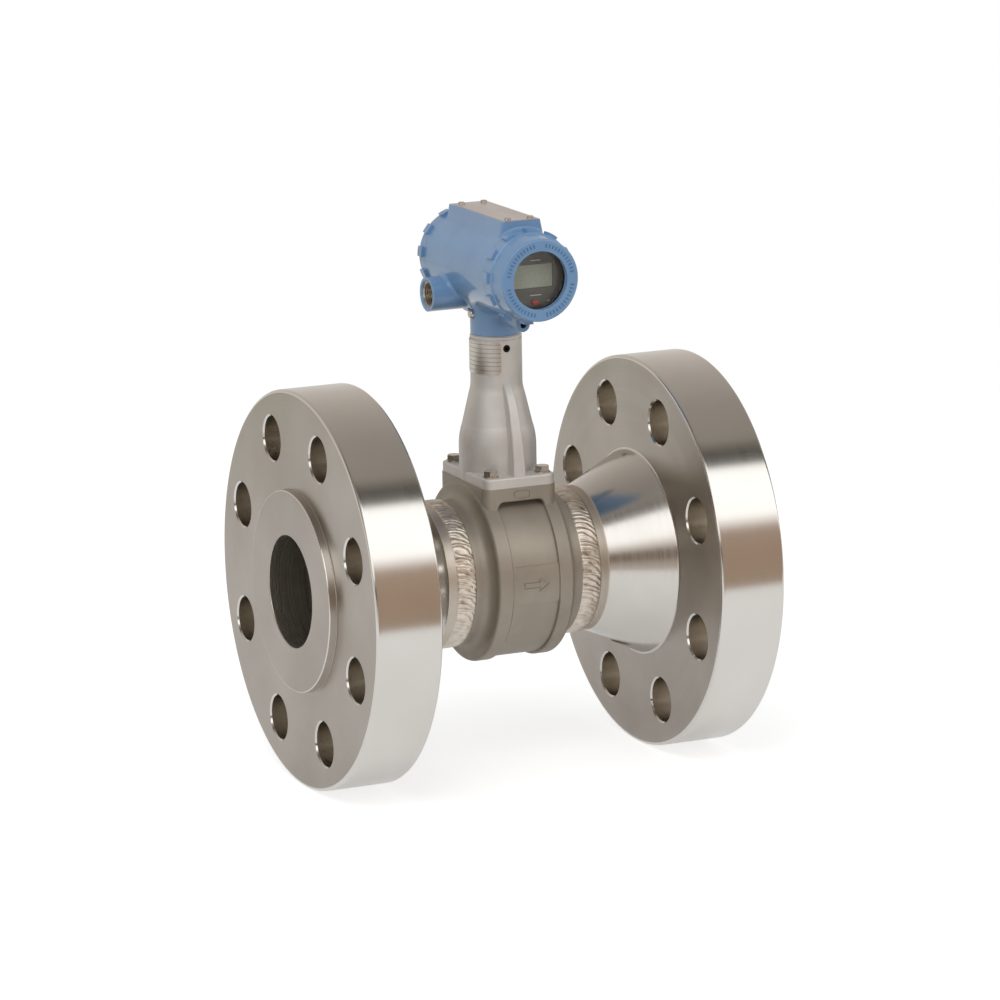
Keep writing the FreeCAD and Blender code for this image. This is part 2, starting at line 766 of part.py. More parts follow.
def housing_outside():
    """Barrel, neck, conduit bosses, plate pad and lugs, before they are hollowed."""
    barrel_r = barrel_d / 2
    barrel_front = Vector(stem_x, barrel_front_y, head_z)
    barrel = cylinder(barrel_r, barrel_rear_y - barrel_front_y, barrel_front, y_axis)
    barrel.rotate(head_axis, y_axis, 180)    # its seam line comes to lie inside the neck
    neck = cylinder(neck_d / 2, head_z - tube_top_z, Vector(stem_x, 0, tube_top_z), z_axis)
    shape = barrel.fuse(neck)
    saddle = [edge for edge in shape.Edges
              if edge.BoundBox.ZMin > tube_top_z + 1
              and edge.BoundBox.ZMax < head_z
              and edge.BoundBox.YMin > -neck_d / 2 - 1
              and edge.BoundBox.YMax < neck_d / 2 + 1
              and edge.BoundBox.YLength > 1]
    shape = shape.makeFillet(neck_flare, saddle)
    conduit_z = head_z - conduit_drop
    boss_start = Vector(stem_x - conduit_reach, conduit_y, conduit_z)
    boss = cylinder(conduit_od / 2, 2 * conduit_reach, boss_start, x_axis)
    shape = shape.fuse(boss).fuse(plate_pad())
    shape = round_edges(shape, boss_root_round, lambda edge: (
        lies_on(edge, head_axis, y_axis, barrel_r) and lies_on(edge, boss_start, x_axis, conduit_od / 2)))
    pad_root_r = min(plate_pad_root_round, plate_pad_front_y - barrel_front_y - round_gap)
    shape = round_edges(shape, pad_root_r, lambda edge: (
        lies_on(edge, head_axis, y_axis, barrel_r)
        and edge.BoundBox.ZMin > head_z
        and edge.BoundBox.YMin > barrel_front_y + 1e-3
        and edge.BoundBox.YMax < barrel_rear_y - 1e-3))
    front_lug_y = barrel_front_y + lug_setback
    rear_lug_y = barrel_rear_y - lug_setback
    neck_wall_y = -(neck_d + cable_hole_d) / 4
    front_lug = cover_lock_lug(front_lug_y, neck_wall_y - front_lug_y, front_lug_y)
    rear_lug = cover_lock_lug(rear_lug_y - lug_length, lug_length, rear_lug_y)
    return shape.fuse(front_lug).fuse(rear_lug)


def plate_pad():
    """Raised pad on top of the barrel for the name plate, with sloping sides."""
    half_top = plate_pad_width / 2
    half_base = plate_pad_base_width / 2
    base_rise = math.sqrt((barrel_d / 2) ** 2 - half_base ** 2)
    slope = (half_base - half_top) / (plate_pad_rise - base_rise)
    half_low = half_top + slope * plate_pad_rise
    pad = polygon_face([
        Vector(stem_x - half_low, plate_pad_front_y, head_z),
        Vector(stem_x + half_low, plate_pad_front_y, head_z),
        Vector(stem_x + half_top, plate_pad_front_y, head_z + plate_pad_rise),
        Vector(stem_x - half_top, plate_pad_front_y, head_z + plate_pad_rise),
    ]).extrude(Vector(0, plate_pad_rear_y - plate_pad_front_y, 0))
    return round_edges(pad, plate_pad_corner, lambda edge: edge.BoundBox.ZLength > plate_pad_rise / 2)


def cover_lock_lug(start_y, length, face_y):
    """Lug under the barrel for the screw that locks a cover, round below, soft at its face."""
    lug_z = head_z - lug_drop
    lug_top_z = head_z - (barrel_d + compartment_d) / 4
    half = lug_d / 2
    outline = Part.Wire([
        Part.Arc(Vector(stem_x - half, start_y, lug_z), Vector(stem_x, start_y, lug_z - half),
                 Vector(stem_x + half, start_y, lug_z)).toShape(),
        Part.makeLine(Vector(stem_x + half, start_y, lug_z), Vector(stem_x + half, start_y, lug_top_z)),
        Part.makeLine(Vector(stem_x + half, start_y, lug_top_z), Vector(stem_x - half, start_y, lug_top_z)),
        Part.makeLine(Vector(stem_x - half, start_y, lug_top_z), Vector(stem_x - half, start_y, lug_z)),
    ])
    lug = Part.Face(outline).extrude(Vector(0, length, 0))
    return round_edges(lug, lug_edge_round, lambda edge: (
        abs(edge.BoundBox.YMin - face_y) < 1e-3 and abs(edge.BoundBox.YMax - face_y) < 1e-3
        and edge.BoundBox.ZMin < lug_top_z - 1e-3))


def electronics_housing():
    """The head's casting: two compartments with a web between them, and all that is on it."""
    shape = housing_outside()
    front_end_y = barrel_front_y - front_neck_length
    rear_end_y = barrel_rear_y + rear_neck_length
    thread_front = Vector(stem_x, front_end_y, head_z)
    thread_ring = cylinder(cover_neck_d / 2, rear_end_y - front_end_y, thread_front, y_axis)
    spigot_low_z = tube_top_z - spigot_length
    spigot = cylinder(spigot_d / 2, spigot_length, Vector(stem_x, 0, spigot_low_z), z_axis)
    shape = shape.fuse(thread_ring).fuse(spigot)
    compartment_r = compartment_d / 2
    front_room = cylinder(compartment_r, web_y - front_end_y, Vector(stem_x, front_end_y, head_z), y_axis)
    rear_start_y = web_y + web_thickness
    rear_start = Vector(stem_x, rear_start_y, head_z)
    rear_room = cylinder(compartment_r, rear_end_y - rear_start_y, rear_start, y_axis)
    cable_hole = cylinder(cable_hole_d / 2, head_z - spigot_low_z, Vector(stem_x, 0, spigot_low_z), z_axis)
    cable_hole = cable_hole.common(Part.makeBox(
        cable_hole_d, cable_hole_d / 2 + web_y, head_z - spigot_low_z,
        Vector(stem_x - cable_hole_d / 2, -cable_hole_d / 2, spigot_low_z)))
    shape = shape.cut(front_room).cut(rear_room).cut(cable_hole)
    groove_low_z = lock_screw_z - screw_groove_width / 2
    shape = shape.cut(spigot_ring(groove_low_z, screw_groove_width, screw_groove_depth))
    shape = shape.cut(spigot_ring(neck_seal_low_z(), seal_section + 2 * fit_gap, seal_section + fit_gap))
    for side in (-1, 1):
        mouth = Vector(stem_x + side * conduit_reach, conduit_y, head_z - conduit_drop)
        inward = Vector(-side, 0, 0)
        thread = cylinder(conduit_thread_d / 2, conduit_thread_depth, mouth, inward)
        wire_hole = cylinder(conduit_wire_d / 2, conduit_wire_depth, mouth, inward)
        chamfer = Part.makeCone(conduit_thread_d / 2 + conduit_chamfer, conduit_thread_d / 2, conduit_chamfer,
                                mouth, inward)
        shape = shape.cut(thread).cut(wire_hole).cut(chamfer)
    for screw in housing_screw_holes():
        shape = shape.cut(screw)
    return solid_of(shape)


def neck_seal_low_z():
    return tube_top_z - spigot_length + neck_seal_rise - seal_section / 2 - fit_gap


def spigot_ring(low_z, width, depth):
    """Ring to cut from the spigot for a groove."""
    base = Vector(stem_x, 0, low_z)
    return cylinder(spigot_d, width, base, z_axis).cut(cylinder(spigot_d / 2 - depth, width, base, z_axis))


def neck_seal():
    ring_r = spigot_d / 2 - seal_section / 2
    ring_z = tube_top_z - spigot_length + neck_seal_rise
    return Part.makeTorus(ring_r, seal_section / 2, Vector(stem_x, 0, ring_z))


def ground_screw_place():
    """Where the outside ground screw's head rests on the neck."""
    return Vector(stem_x - neck_d / 2, 0, ground_screw_z)


def housing_screw_holes():
    """Holes in the housing for every screw that goes into it."""
    holes = []
    for place in nameplate_screw_places():
        length = nameplate_screw_length + seat_gap
        start = Vector(place.x, place.y, plate_top_z() - length)
        holes.append(cylinder(nameplate_screw_d / 2 + fit_gap, length, start, z_axis))
    for place, direction in cover_lock_screw_places():
        start = place - direction * lug_length
        holes.append(cylinder(cover_lock_screw_d / 2 + fit_gap, lug_length, start, direction))
    ground_length = ground_screw_length + ground_screw_head
    ground_r = ground_screw_d / 2 + fit_gap
    holes.append(cylinder(ground_r, ground_length + seat_gap, ground_screw_place(), x_axis))
    spot_depth = neck_d / 2 - math.sqrt((neck_d / 2) ** 2 - (ground_screw_head_d / 2) ** 2)
    spot = cylinder(ground_screw_head_d / 2 + fit_gap, spot_depth + seat_gap,
                    ground_screw_place() - x_axis * seat_gap, x_axis)
    holes.append(spot)
    holes.append(cylinder(ground_screw_d / 2 + fit_gap, web_thickness - seat_gap,
                          inner_ground_place() - y_axis * (web_thickness - seat_gap), y_axis))
    return holes


def plate_top_z():
    return head_z + plate_pad_rise


def nameplate_screw_places():
    rows = (plate_pad_front_y + nameplate_front_margin + nameplate_screw_inset,
            plate_pad_rear_y - nameplate_rear_margin - nameplate_screw_inset)
    return [Vector(stem_x + side * nameplate_screw_x, y, plate_top_z()) for side in (-1, 1) for y in rows]


def cover_lock_screw_places():
    """Outer end of each lock screw and the way it comes out."""
    lug_z = head_z - lug_drop
    front = Vector(stem_x, barrel_front_y + lug_setback, lug_z)
    rear = Vector(stem_x, barrel_rear_y - lug_setback, lug_z)
    return [(front, Vector(0, -1, 0)), (rear, Vector(0, 1, 0))]


def inner_ground_place():
    return Vector(stem_x, web_y + web_thickness, head_z - inner_ground_drop)


def pan_screw(place, direction, diameter, length, head_d, head_height):
    """Screw whose head rests at place and whose shank goes in against direction."""
    shank = cylinder(diameter / 2, length, place - direction * length, direction)
    head = cylinder(head_d / 2, head_height, place, direction)
    rim = [edge for edge in head.Edges
           if abs((edge.CenterOfMass - place).dot(direction) - head_height) < 1e-6]
    head = head.makeFillet(head_height * pan_round, rim)
    return solid_of(shank.fuse(head))


def nameplate():
    width = plate_pad_width - 2 * nameplate_side_margin
    front_y = plate_pad_front_y + nameplate_front_margin
    rear_y = plate_pad_rear_y - nameplate_rear_margin
    plate = Part.makeBox(width, rear_y - front_y, nameplate_thickness,
                         Vector(stem_x - width / 2, front_y, plate_top_z()))
    upright = [edge for edge in plate.Edges if abs(edge.tangentAt(edge.FirstParameter).z) > 0.99]
    plate = plate.makeFillet(plate_pad_corner, upright)
    for place in nameplate_screw_places():
        plate = plate.cut(cylinder(nameplate_screw_d / 2 + fit_gap, nameplate_thickness, place, z_axis))
    return solid_of(plate)


def nameplate_screws():
    lift = z_axis * nameplate_thickness
    length = nameplate_screw_length + nameplate_thickness
    return Part.makeCompound([
        pan_screw(place + lift, z_axis, nameplate_screw_d, length,
                  nameplate_screw_head_d, nameplate_screw_head)
        for place in nameplate_screw_places()])


def cover_lock_screws():
    """One screw with a hexagon socket, sunk in each lug, so that the covers can turn."""
    screws = []
    for place, direction in cover_lock_screw_places():
        outer_end = place - direction * cover_lock_screw_recess
        screw = cylinder(cover_lock_screw_d / 2, cover_lock_screw_length,
                         outer_end - direction * cover_lock_screw_length, direction)
        socket = hexagon_prism(cover_lock_screw_d / 2, cover_lock_socket_depth,
                               outer_end - direction * cover_lock_socket_depth, direction)
        screws.append(solid_of(screw.cut(socket)))
    return Part.makeCompound(screws)


def external_ground_screw():
    spot_depth = neck_d / 2 - math.sqrt((neck_d / 2) ** 2 - (ground_screw_head_d / 2) ** 2)
    place = ground_screw_place() + x_axis * spot_depth
    return pan_screw(place, Vector(-1, 0, 0), ground_screw_d, ground_screw_length,
                     ground_screw_head_d, ground_screw_head)


def internal_ground_screw():
    length = web_thickness - 2 * seat_gap
    return pan_screw(inner_ground_place(), y_axis, ground_screw_d, length,
                     ground_screw_head_d, ground_screw_head)


def module_front_y():
    return web_y - module_length


def electronics_module():
    """Round module that fills the front compartment up to the display."""
    module_r = compartment_d / 2 - module_gap
    shape = cylinder(module_r, module_length, Vector(stem_x, module_front_y(), head_z), y_axis)
    for place in display_screw_places():
        bezel_back = place + y_axis * bezel_thickness
        hole = cylinder(display_screw_d / 2 + fit_gap, bezel_thickness, bezel_back, y_axis)
        shape = shape.cut(hole)
    return solid_of(shape)


def bezel_front_y():
    return module_front_y() - bezel_thickness


def bezel_radius():
    return compartment_d / 2 - module_gap


def display_screw_places():
    """Points on the bezel's face where the two screw heads rest."""
    places = []
    for side in (-1, 1):
        angle = math.radians(180 - side * display_screw_angle)
        offset = Vector(math.cos(angle), 0, math.sin(angle)) * (bezel_radius() - display_screw_edge)
        places.append(Vector(stem_x, bezel_front_y(), head_z) + offset)
    return places


def lcd_block(margin, front_y, depth):
    """Block behind the display window, grown by a margin on each side."""
    width = lcd_width + 2 * margin
    height = lcd_height + 2 * margin
    return Part.makeBox(width, depth, height,
                        Vector(stem_x - width / 2, front_y, head_z + lcd_rise - height / 2))


def jumper_block(front_y, depth, gap):
    width = jumper_width + 2 * gap
    height = jumper_height + 2 * gap
    middle_z = head_z - bezel_radius() + jumper_edge
    return Part.makeBox(width, depth, height,
                        Vector(stem_x + jumper_x - width / 2, front_y, middle_z - height / 2))


def display_bezel():
    """Round face of the display with its window, open behind for the panel."""
    bezel_r = bezel_radius()
    shape = cylinder(bezel_r, bezel_thickness, Vector(stem_x, bezel_front_y(), head_z), y_axis)
    rim = [edge for edge in shape.Edges if is_ring(edge, "y", bezel_r, bezel_front_y())]
    shape = shape.makeFillet(bezel_edge_round, rim)
    shape = shape.cut(lcd_block(0, bezel_front_y(), bezel_thickness))
    panel_front_y = bezel_front_y() + lcd_recess
    shape = shape.cut(lcd_block(bezel_lip + fit_gap, panel_front_y, bezel_thickness - lcd_recess))
    shape = shape.cut(jumper_block(bezel_front_y(), bezel_thickness, fit_gap))
    for place in display_screw_places():
        shape = shape.cut(cylinder(display_screw_d / 2 + fit_gap, bezel_thickness, place, y_axis))
    return solid_of(shape)


def lcd_panel():
    """Glass of the display, seated behind the bezel's lip and carried by the module."""
    return lcd_block(bezel_lip, bezel_front_y() + lcd_recess, bezel_thickness - lcd_recess)


def security_jumper():
    """Small plug in a slot of the bezel, standing out of its face."""
    shape = jumper_block(bezel_front_y() - jumper_stand, bezel_thickness + jumper_stand, 0)
    front = [edge for edge in shape.Edges
             if abs(edge.CenterOfMass.y - (bezel_front_y() - jumper_stand)) < 1e-6]
    return shape.makeFillet(jumper_edge_round, front)


def display_screws():
    length = 2 * bezel_thickness - seat_gap
    return Part.makeCompound([
        pan_screw(place, Vector(0, -1, 0), display_screw_d, length, display_screw_head_d, display_screw_head)
        for place in display_screw_places()])


def terminal_block():
    """D-shaped block on the web, above the room where the wires come in."""
    start_y = web_y + web_thickness
    block_r = compartment_d / 2 - module_gap
    shape = cylinder(block_r, terminal_depth, Vector(stem_x, start_y, head_z), y_axis)
    floor_z = head_z - terminal_floor_rise
    shape = shape.cut(Part.makeBox(compartment_d, terminal_depth, compartment_d,
                                   Vector(stem_x - compartment_d / 2, start_y, floor_z - compartment_d)))
    for wall in range(terminal_count + 1):
        wall_x = stem_x + (wall - terminal_count / 2) * terminal_pitch
        corner = Vector(wall_x - barrier_thickness / 2, start_y + terminal_depth,
                        head_z + terminal_row_rise - barrier_height / 2)
        shape = shape.fuse(Part.makeBox(barrier_thickness, barrier_stand, barrier_height, corner))
    for place in terminal_screw_places():
        hole = cylinder(terminal_screw_d / 2 + fit_gap, terminal_screw_length + seat_gap,
                        place - y_axis * (terminal_screw_length + seat_gap), y_axis)
        shape = shape.cut(hole)
    return solid_of(shape)


def terminal_screw_places():
    face_y = web_y + web_thickness + terminal_depth
    return [Vector(stem_x + (index + 0.5 - terminal_count / 2) * terminal_pitch, face_y,
                   head_z + terminal_row_rise) for index in range(terminal_count)]


def terminal_screws():
    return Part.makeCompound([
        pan_screw(place, y_axis, terminal_screw_d, terminal_screw_length,
                  terminal_screw_head_d, terminal_screw_head)
        for place in terminal_screw_places()])


def cover_lugs(start_y, length, phase):
    """Castellated ring round a cover, as sectors between two radii."""
    sector = 360 / cover_lug_count
    angle = sector * cover_lug_share
    base = Vector(stem_x, start_y, head_z)
    lugs = []
    for index in range(cover_lug_count):
        lug = Part.makeCylinder(lug_ring_d / 2, length, base, y_axis, angle)
        core = Part.makeCylinder(collar_d / 2 - cover_lug_root, length, base, y_axis, angle)
        lug = lug.cut(core)
        lug.rotate(head_axis, y_axis, index * sector + phase)
        lugs.append(lug)
    return lugs


def seal_groove(start_y, length):
    """Ring to cut inside a cover's mouth for its seal."""
    groove_r = cover_neck_d / 2 + cover_gap + seal_section + seal_gap
    return cylinder(groove_r, length, Vector(stem_x, start_y, head_z), y_axis)


def seal_ring(centre_y):
    ring_r = cover_neck_d / 2 + cover_gap + seal_section / 2
    return Part.makeTorus(ring_r, seal_section / 2, Vector(stem_x, centre_y, head_z), y_axis)


def seal_width():
    return seal_section + 2 * seal_gap


def front_cover():
    """Cap with a window, screwed over the front neck of the housing."""
    mouth_y = barrel_front_y - cover_gap
    collar_y = mouth_y - front_collar_length
    face_y = mouth_y - front_cover_length
    shape = revolve_y([
        (mouth_y, 0),
        (mouth_y, collar_d / 2),
        (collar_y, collar_d / 2),
        (collar_y - front_collar_bevel, front_nose_d / 2),
        (face_y, front_ring_d / 2),
        (face_y, 0),
    ])
    shape = round_edges(shape, front_ring_round, lambda edge: is_ring(edge, "y", front_ring_d / 2, face_y))
    lug_start_y = collar_y + front_collar_lug_start
    lug_length = front_collar_length - 2 * front_collar_lug_start
    for lug in cover_lugs(lug_start_y, lug_length, front_lug_phase):
        shape = shape.fuse(lug)
    glass_front_y = face_y + window_lip
    neck_end_y = barrel_front_y - front_neck_length
    thread_end_y = neck_end_y - cover_gap
    shape = shape.cut(cylinder(cover_neck_d / 2 + cover_gap, mouth_y - thread_end_y,
                               Vector(stem_x, thread_end_y, head_z), y_axis))
    shape = shape.cut(cylinder(glass_d / 2 + fit_gap, mouth_y - glass_front_y,
                               Vector(stem_x, glass_front_y, head_z), y_axis))
    shape = shape.cut(cylinder(window_d / 2, front_cover_length, Vector(stem_x, face_y, head_z), y_axis))
    shape = shape.cut(seal_groove(mouth_y - seal_gap - seal_width(), seal_width()))
    return solid_of(shape)


def glass_front_y():
    return barrel_front_y - cover_gap - front_cover_length + window_lip


def window_glass():
    return cylinder(glass_d / 2, glass_thickness, Vector(stem_x, glass_front_y(), head_z), y_axis)


def window_retainer():
    base = Vector(stem_x, glass_front_y() + glass_thickness, head_z)
    ring = cylinder(glass_d / 2, retainer_thickness, base, y_axis)
    return ring.cut(cylinder(retainer_bore_d / 2, retainer_thickness, base, y_axis))


def front_cover_seal():
    mouth_y = barrel_front_y - cover_gap
    return seal_ring(mouth_y - seal_gap - seal_width() / 2)


def rear_cover():
    """Plain cap on the terminal side, slightly crowned."""
    mouth_y = barrel_rear_y + cover_gap
    face_y = mouth_y + rear_cover_length
    collar_end_y = mouth_y + rear_collar_length
    shape = revolve_y([
        (mouth_y, 0),
        (mouth_y, collar_d / 2),
        (collar_end_y, collar_d / 2),
        (face_y, rear_ring_d / 2),
        (face_y + rear_crown, rear_crown_d / 2),
        (face_y + rear_crown, 0),
    ])
    lug_length = rear_collar_length - 2 * front_collar_lug_start
    for lug in cover_lugs(mouth_y + front_collar_lug_start, lug_length, rear_lug_phase):
        shape = shape.fuse(lug)
    room_length = face_y - rear_cover_end - mouth_y
    shape = shape.cut(cylinder(cover_neck_d / 2 + cover_gap, room_length,
                               Vector(stem_x, mouth_y, head_z), y_axis))
    shape = shape.cut(seal_groove(mouth_y + seal_gap, seal_width()))
    return solid_of(shape)


def rear_cover_seal():
    mouth_y = barrel_rear_y + cover_gap
    return seal_ring(mouth_y + seal_gap + seal_width() / 2)


def pieces():
    inlet_flange = flange()
    inlet_weld = weld()
    return {
        "inlet_flange": inlet_flange,
        "outlet_flange": mirrored(inlet_flange),
        "inlet_weld": inlet_weld,
        "outlet_weld": mirrored(inlet_weld),
        "meter_body": meter_body(),
        "shedder_bar": shedder_bar(),
        "sensor": sensor(),
        "sensor_nut": sensor_nut(),
        "sensor_cable": sensor_cable(),
        "sensor_connector": sensor_connector(),
        "support_tube": support_tube(),
        "support_tube_bolts": support_tube_bolts(),
        "support_tube_washers": support_tube_washers(),
        "tube_tag": tube_tag(),
        "tube_lock_screws": tube_lock_screws(),
        "electronics_housing": electronics_housing(),
        "neck_seal": neck_seal(),
        "nameplate": nameplate(),
        "nameplate_screws": nameplate_screws(),
        "electronics_module": electronics_module(),
        "display_bezel": display_bezel(),
        "lcd_panel": lcd_panel(),
        "display_screws": display_screws(),
        "security_jumper": security_jumper(),
        "terminal_block": terminal_block(),
        "terminal_screws": terminal_screws(),
        "internal_ground_screw": internal_ground_screw(),
        "external_ground_screw": external_ground_screw(),
        "cover_lock_screws": cover_lock_screws(),
        "front_cover_seal": front_cover_seal(),
        "front_cover": front_cover(),
        "window_glass": window_glass(),
        "window_retainer": window_retainer(),
        "rear_cover_seal": rear_cover_seal(),
        "rear_cover": rear_cover(),
    }


os.makedirs("parts", exist_ok=True)
for name, shape in pieces().items():
    shape.exportStep(os.path.join("parts", name + ".step"))
    print(name, len(shape.Solids), "solid(s),", round(shape.Volume / 1000, 2), "cm3, valid", shape.isValid())
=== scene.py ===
import math
import bmesh
import bpy
from mathutils import Matrix, Quaternion, Vector, noise


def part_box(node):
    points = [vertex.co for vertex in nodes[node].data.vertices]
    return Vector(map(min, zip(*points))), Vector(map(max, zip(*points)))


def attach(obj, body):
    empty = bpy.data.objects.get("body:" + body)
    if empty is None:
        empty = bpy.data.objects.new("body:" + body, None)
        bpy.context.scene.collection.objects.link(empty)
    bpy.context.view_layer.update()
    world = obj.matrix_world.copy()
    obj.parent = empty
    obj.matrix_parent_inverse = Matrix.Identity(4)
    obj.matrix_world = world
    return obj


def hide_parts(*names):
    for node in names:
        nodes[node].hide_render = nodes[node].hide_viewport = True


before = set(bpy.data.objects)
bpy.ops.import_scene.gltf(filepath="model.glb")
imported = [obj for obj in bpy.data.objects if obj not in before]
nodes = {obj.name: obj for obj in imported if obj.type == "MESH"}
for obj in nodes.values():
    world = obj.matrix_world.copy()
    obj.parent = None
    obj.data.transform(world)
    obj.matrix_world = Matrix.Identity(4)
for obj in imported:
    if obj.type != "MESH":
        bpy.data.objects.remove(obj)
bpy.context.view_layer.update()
mm = 0.001
seamGap = 1e-7      # vertices closer than this are one
tolerance = 1e-6    # for telling whether a vertex lies on a circle or a line

xAxis = Vector((1, 0, 0))
yAxis = Vector((0, 1, 0))
zAxis = Vector((0, 0, 1))


# The pipe axis is X through the origin, the stem stands on the middle of the meter body
bodyLow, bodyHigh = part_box("meter_body")
stemX = (bodyLow.x + bodyHigh.x) / 2
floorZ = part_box("inlet_flange")[0].z
barrelLow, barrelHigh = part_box("front_cover")
headZ = (barrelLow.z + barrelHigh.z) / 2
headCentre = Vector((stemX, 0, headZ))


def linear(hexColour):
    channels = [int(hexColour[i:i + 2], 16) / 255 for i in (1, 3, 5)]
    return tuple(c / 12.92 if c <= 0.04045 else ((c + 0.055) / 1.055) ** 2.4 for c in channels) + (1.0,)


def addNode(tree, kind, inputs=None, **settings):
    node = tree.nodes.new("ShaderNode" + kind)
    for key, value in settings.items():
        setattr(node, key, value)
    for key, value in (inputs or {}).items():
        if isinstance(value, bpy.types.NodeSocket):
            tree.links.new(value, node.inputs[key])
        else:
            node.inputs[key].default_value = value
    return node


def addObject(name, data):
    made = bpy.data.objects.new(name, data)
    bpy.context.scene.collection.objects.link(made)
    return made


def emptyMaterial(name):
    material = bpy.data.materials.new(name)
    material.use_nodes = True
    material.node_tree.nodes.clear()
    return material, material.node_tree


def newMaterial(name, inputs):
    material, tree = emptyMaterial(name)
    shader = addNode(tree, "BsdfPrincipled", inputs)
    addNode(tree, "OutputMaterial", {"Surface": shader.outputs[0]})
    return material, tree, shader


def ramp(tree, factor, stops):
    node = addNode(tree, "ValToRGB", {"Fac": factor})
    elements = node.color_ramp.elements
    while len(elements) < len(stops):
        elements.new(0.5)
    for element, (place, colour) in zip(elements, stops):
        element.position = place
        element.color = colour
    return node.outputs["Color"]


def grey(value):
    return (value, value, value, 1.0)


# Camera, from the photograph
cameraView = {
    "target": (0.178356, 0.0, 0.053249),
    "azimuth": -24.323,   # degrees, from straight ahead towards -X
    "elevation": 12.496,
    "roll": -0.921,
    "distance": 4.00167,
    "lens": 184.49,
    "sensor": 36.0,
}


def makeCamera(spec):
    azimuth, elevation = math.radians(spec["azimuth"]), math.radians(spec["elevation"])
    back = Vector((math.sin(azimuth) * math.cos(elevation),
                   -math.cos(azimuth) * math.cos(elevation),
                   math.sin(elevation)))
    data = bpy.data.cameras.new("camera")
    data.lens = spec["lens"]
    data.sensor_width = spec["sensor"]
    data.clip_start = 0.1
    data.clip_end = 50
    camera = addObject("camera", data)
    turn = back.to_track_quat("Z", "Y") @ Quaternion(zAxis, math.radians(spec["roll"]))
    place = Vector(spec["target"]) + back * spec["distance"]
    camera.matrix_world = Matrix.Translation(place) @ turn.to_matrix().to_4x4()
    bpy.context.scene.camera = camera


# Studio: white paper, white surround and soft boxes, seen in the metal as level bands
studio = {
    "floorLow": (-0.9, -0.75),     # the paper ends where the metal starts to see the brown table edge
    "floorHigh": (1.25, 1.4),
    "paper": 0.55,
    "paperGlow": 0.68,             # what makes the paper white to the eye
    "paperShine": 0.42,            # the same paper as the metal mirrors it
    "worldStrength": 0.62,
    "keyEnergy": 30.0,
    "keySize": 1.6,
    "keyPlace": (-1.1, -1.9, 2.4),
    "fillEnergy": 9.0,
    "fillSize": 2.0,
    "fillPlace": (2.2, -2.0, 1.0),
    # what the metal sees, in degrees from the horizon in front up and over to the back
    "bands": [
        (-17, "#b4b2a9"), (-14, "#8a7768"), (-6, "#8d7a69"), (19, "#917d6e"), (27, "#ffffff"),
        (56, "#ffffff"), (58, "#4a4641"), (66, "#403d38"), (74, "#7f7a73"), (100, "#857f7a"),
        (130, "#98918b"), (180, "#b6b1ac"),
    ],
    # the same towards the inlet side, where a dark screen stands between paper and soft box
    "sideBands": [
        (-17, "#b8b6ae"), (-4, "#a49f9b"), (2, "#38352f"), (11, "#38352f"), (18, "#e4e2df"), (34, "#ffffff"),
        (52, "#ffffff"), (66, "#8a857f"), (92, "#4a4640"), (120, "#98918b"), (180, "#b6b1ac"),
    ],
    "sideStart": -0.25,            # how far towards the inlet a reflection turns before it sees those
    "sideEnd": -0.6,
    "bandStrength": 1.5,
}


def makeWorld(spec):
    world = bpy.data.worlds.new("studio")
    bpy.context.scene.world = world
    world.use_nodes = True
    tree = world.node_tree
    tree.nodes.clear()
    coords = addNode(tree, "TexCoord")
    split = addNode(tree, "SeparateXYZ", {0: coords.outputs["Generated"]})
    forward = addNode(tree, "Math", {0: split.outputs["Y"], 1: -1.0}, operation="MULTIPLY")
    angle = addNode(tree, "Math", {0: split.outputs["Z"], 1: forward.outputs[0]}, operation="ARCTAN2")

    def bandRamp(bands):
        low, high = bands[0][0], bands[-1][0]
        place = addNode(tree, "MapRange", {"Value": angle.outputs[0], "From Min": math.radians(low),
                                           "From Max": math.radians(high), "To Min": 0.0, "To Max": 1.0})
        stops = [((degrees - low) / (high - low), linear(colour)) for degrees, colour in bands]
        return ramp(tree, place.outputs[0], stops)

    side = addNode(tree, "MapRange", {"Value": split.outputs["X"], "From Min": spec["sideStart"],
                                      "From Max": spec["sideEnd"], "To Min": 0.0, "To Max": 1.0})
    mixedBands = addNode(tree, "MixRGB", {"Fac": side.outputs[0], "Color1": bandRamp(spec["bands"]),
                                          "Color2": bandRamp(spec["sideBands"])})
    bands = mixedBands.outputs["Color"]
    glossy = addNode(tree, "Background", {"Color": bands, "Strength": spec["bandStrength"]})
    soft = addNode(tree, "Background", {"Color": grey(1.0), "Strength": spec["worldStrength"]})
    white = addNode(tree, "Background", {"Color": grey(1.0), "Strength": 1.0})
    path = addNode(tree, "LightPath")
    seen = addNode(tree, "Math", {0: path.outputs["Is Camera Ray"], 1: path.outputs["Is Transmission Ray"]},
                   operation="MAXIMUM")
    lit = addNode(tree, "MixShader", {"Fac": path.outputs["Is Glossy Ray"], 1: soft.outputs[0],
                                      2: glossy.outputs[0]})
    mixed = addNode(tree, "MixShader", {"Fac": seen.outputs[0], 1: lit.outputs[0], 2: white.outputs[0]})
    addNode(tree, "OutputWorld", {"Surface": mixed.outputs[0]})


def makeLamp(name, place, target, energy, size):
    data = bpy.data.lights.new(name, "AREA")
    data.shape = "DISK"
    data.size = size
    data.energy = energy
    lamp = addObject(name, data)
    away = Vector(place) - Vector(target)
    turn = away.to_track_quat("Z", "Y").to_matrix().to_4x4()
    lamp.matrix_world = Matrix.Translation(Vector(place)) @ turn
    lamp.visible_glossy = False


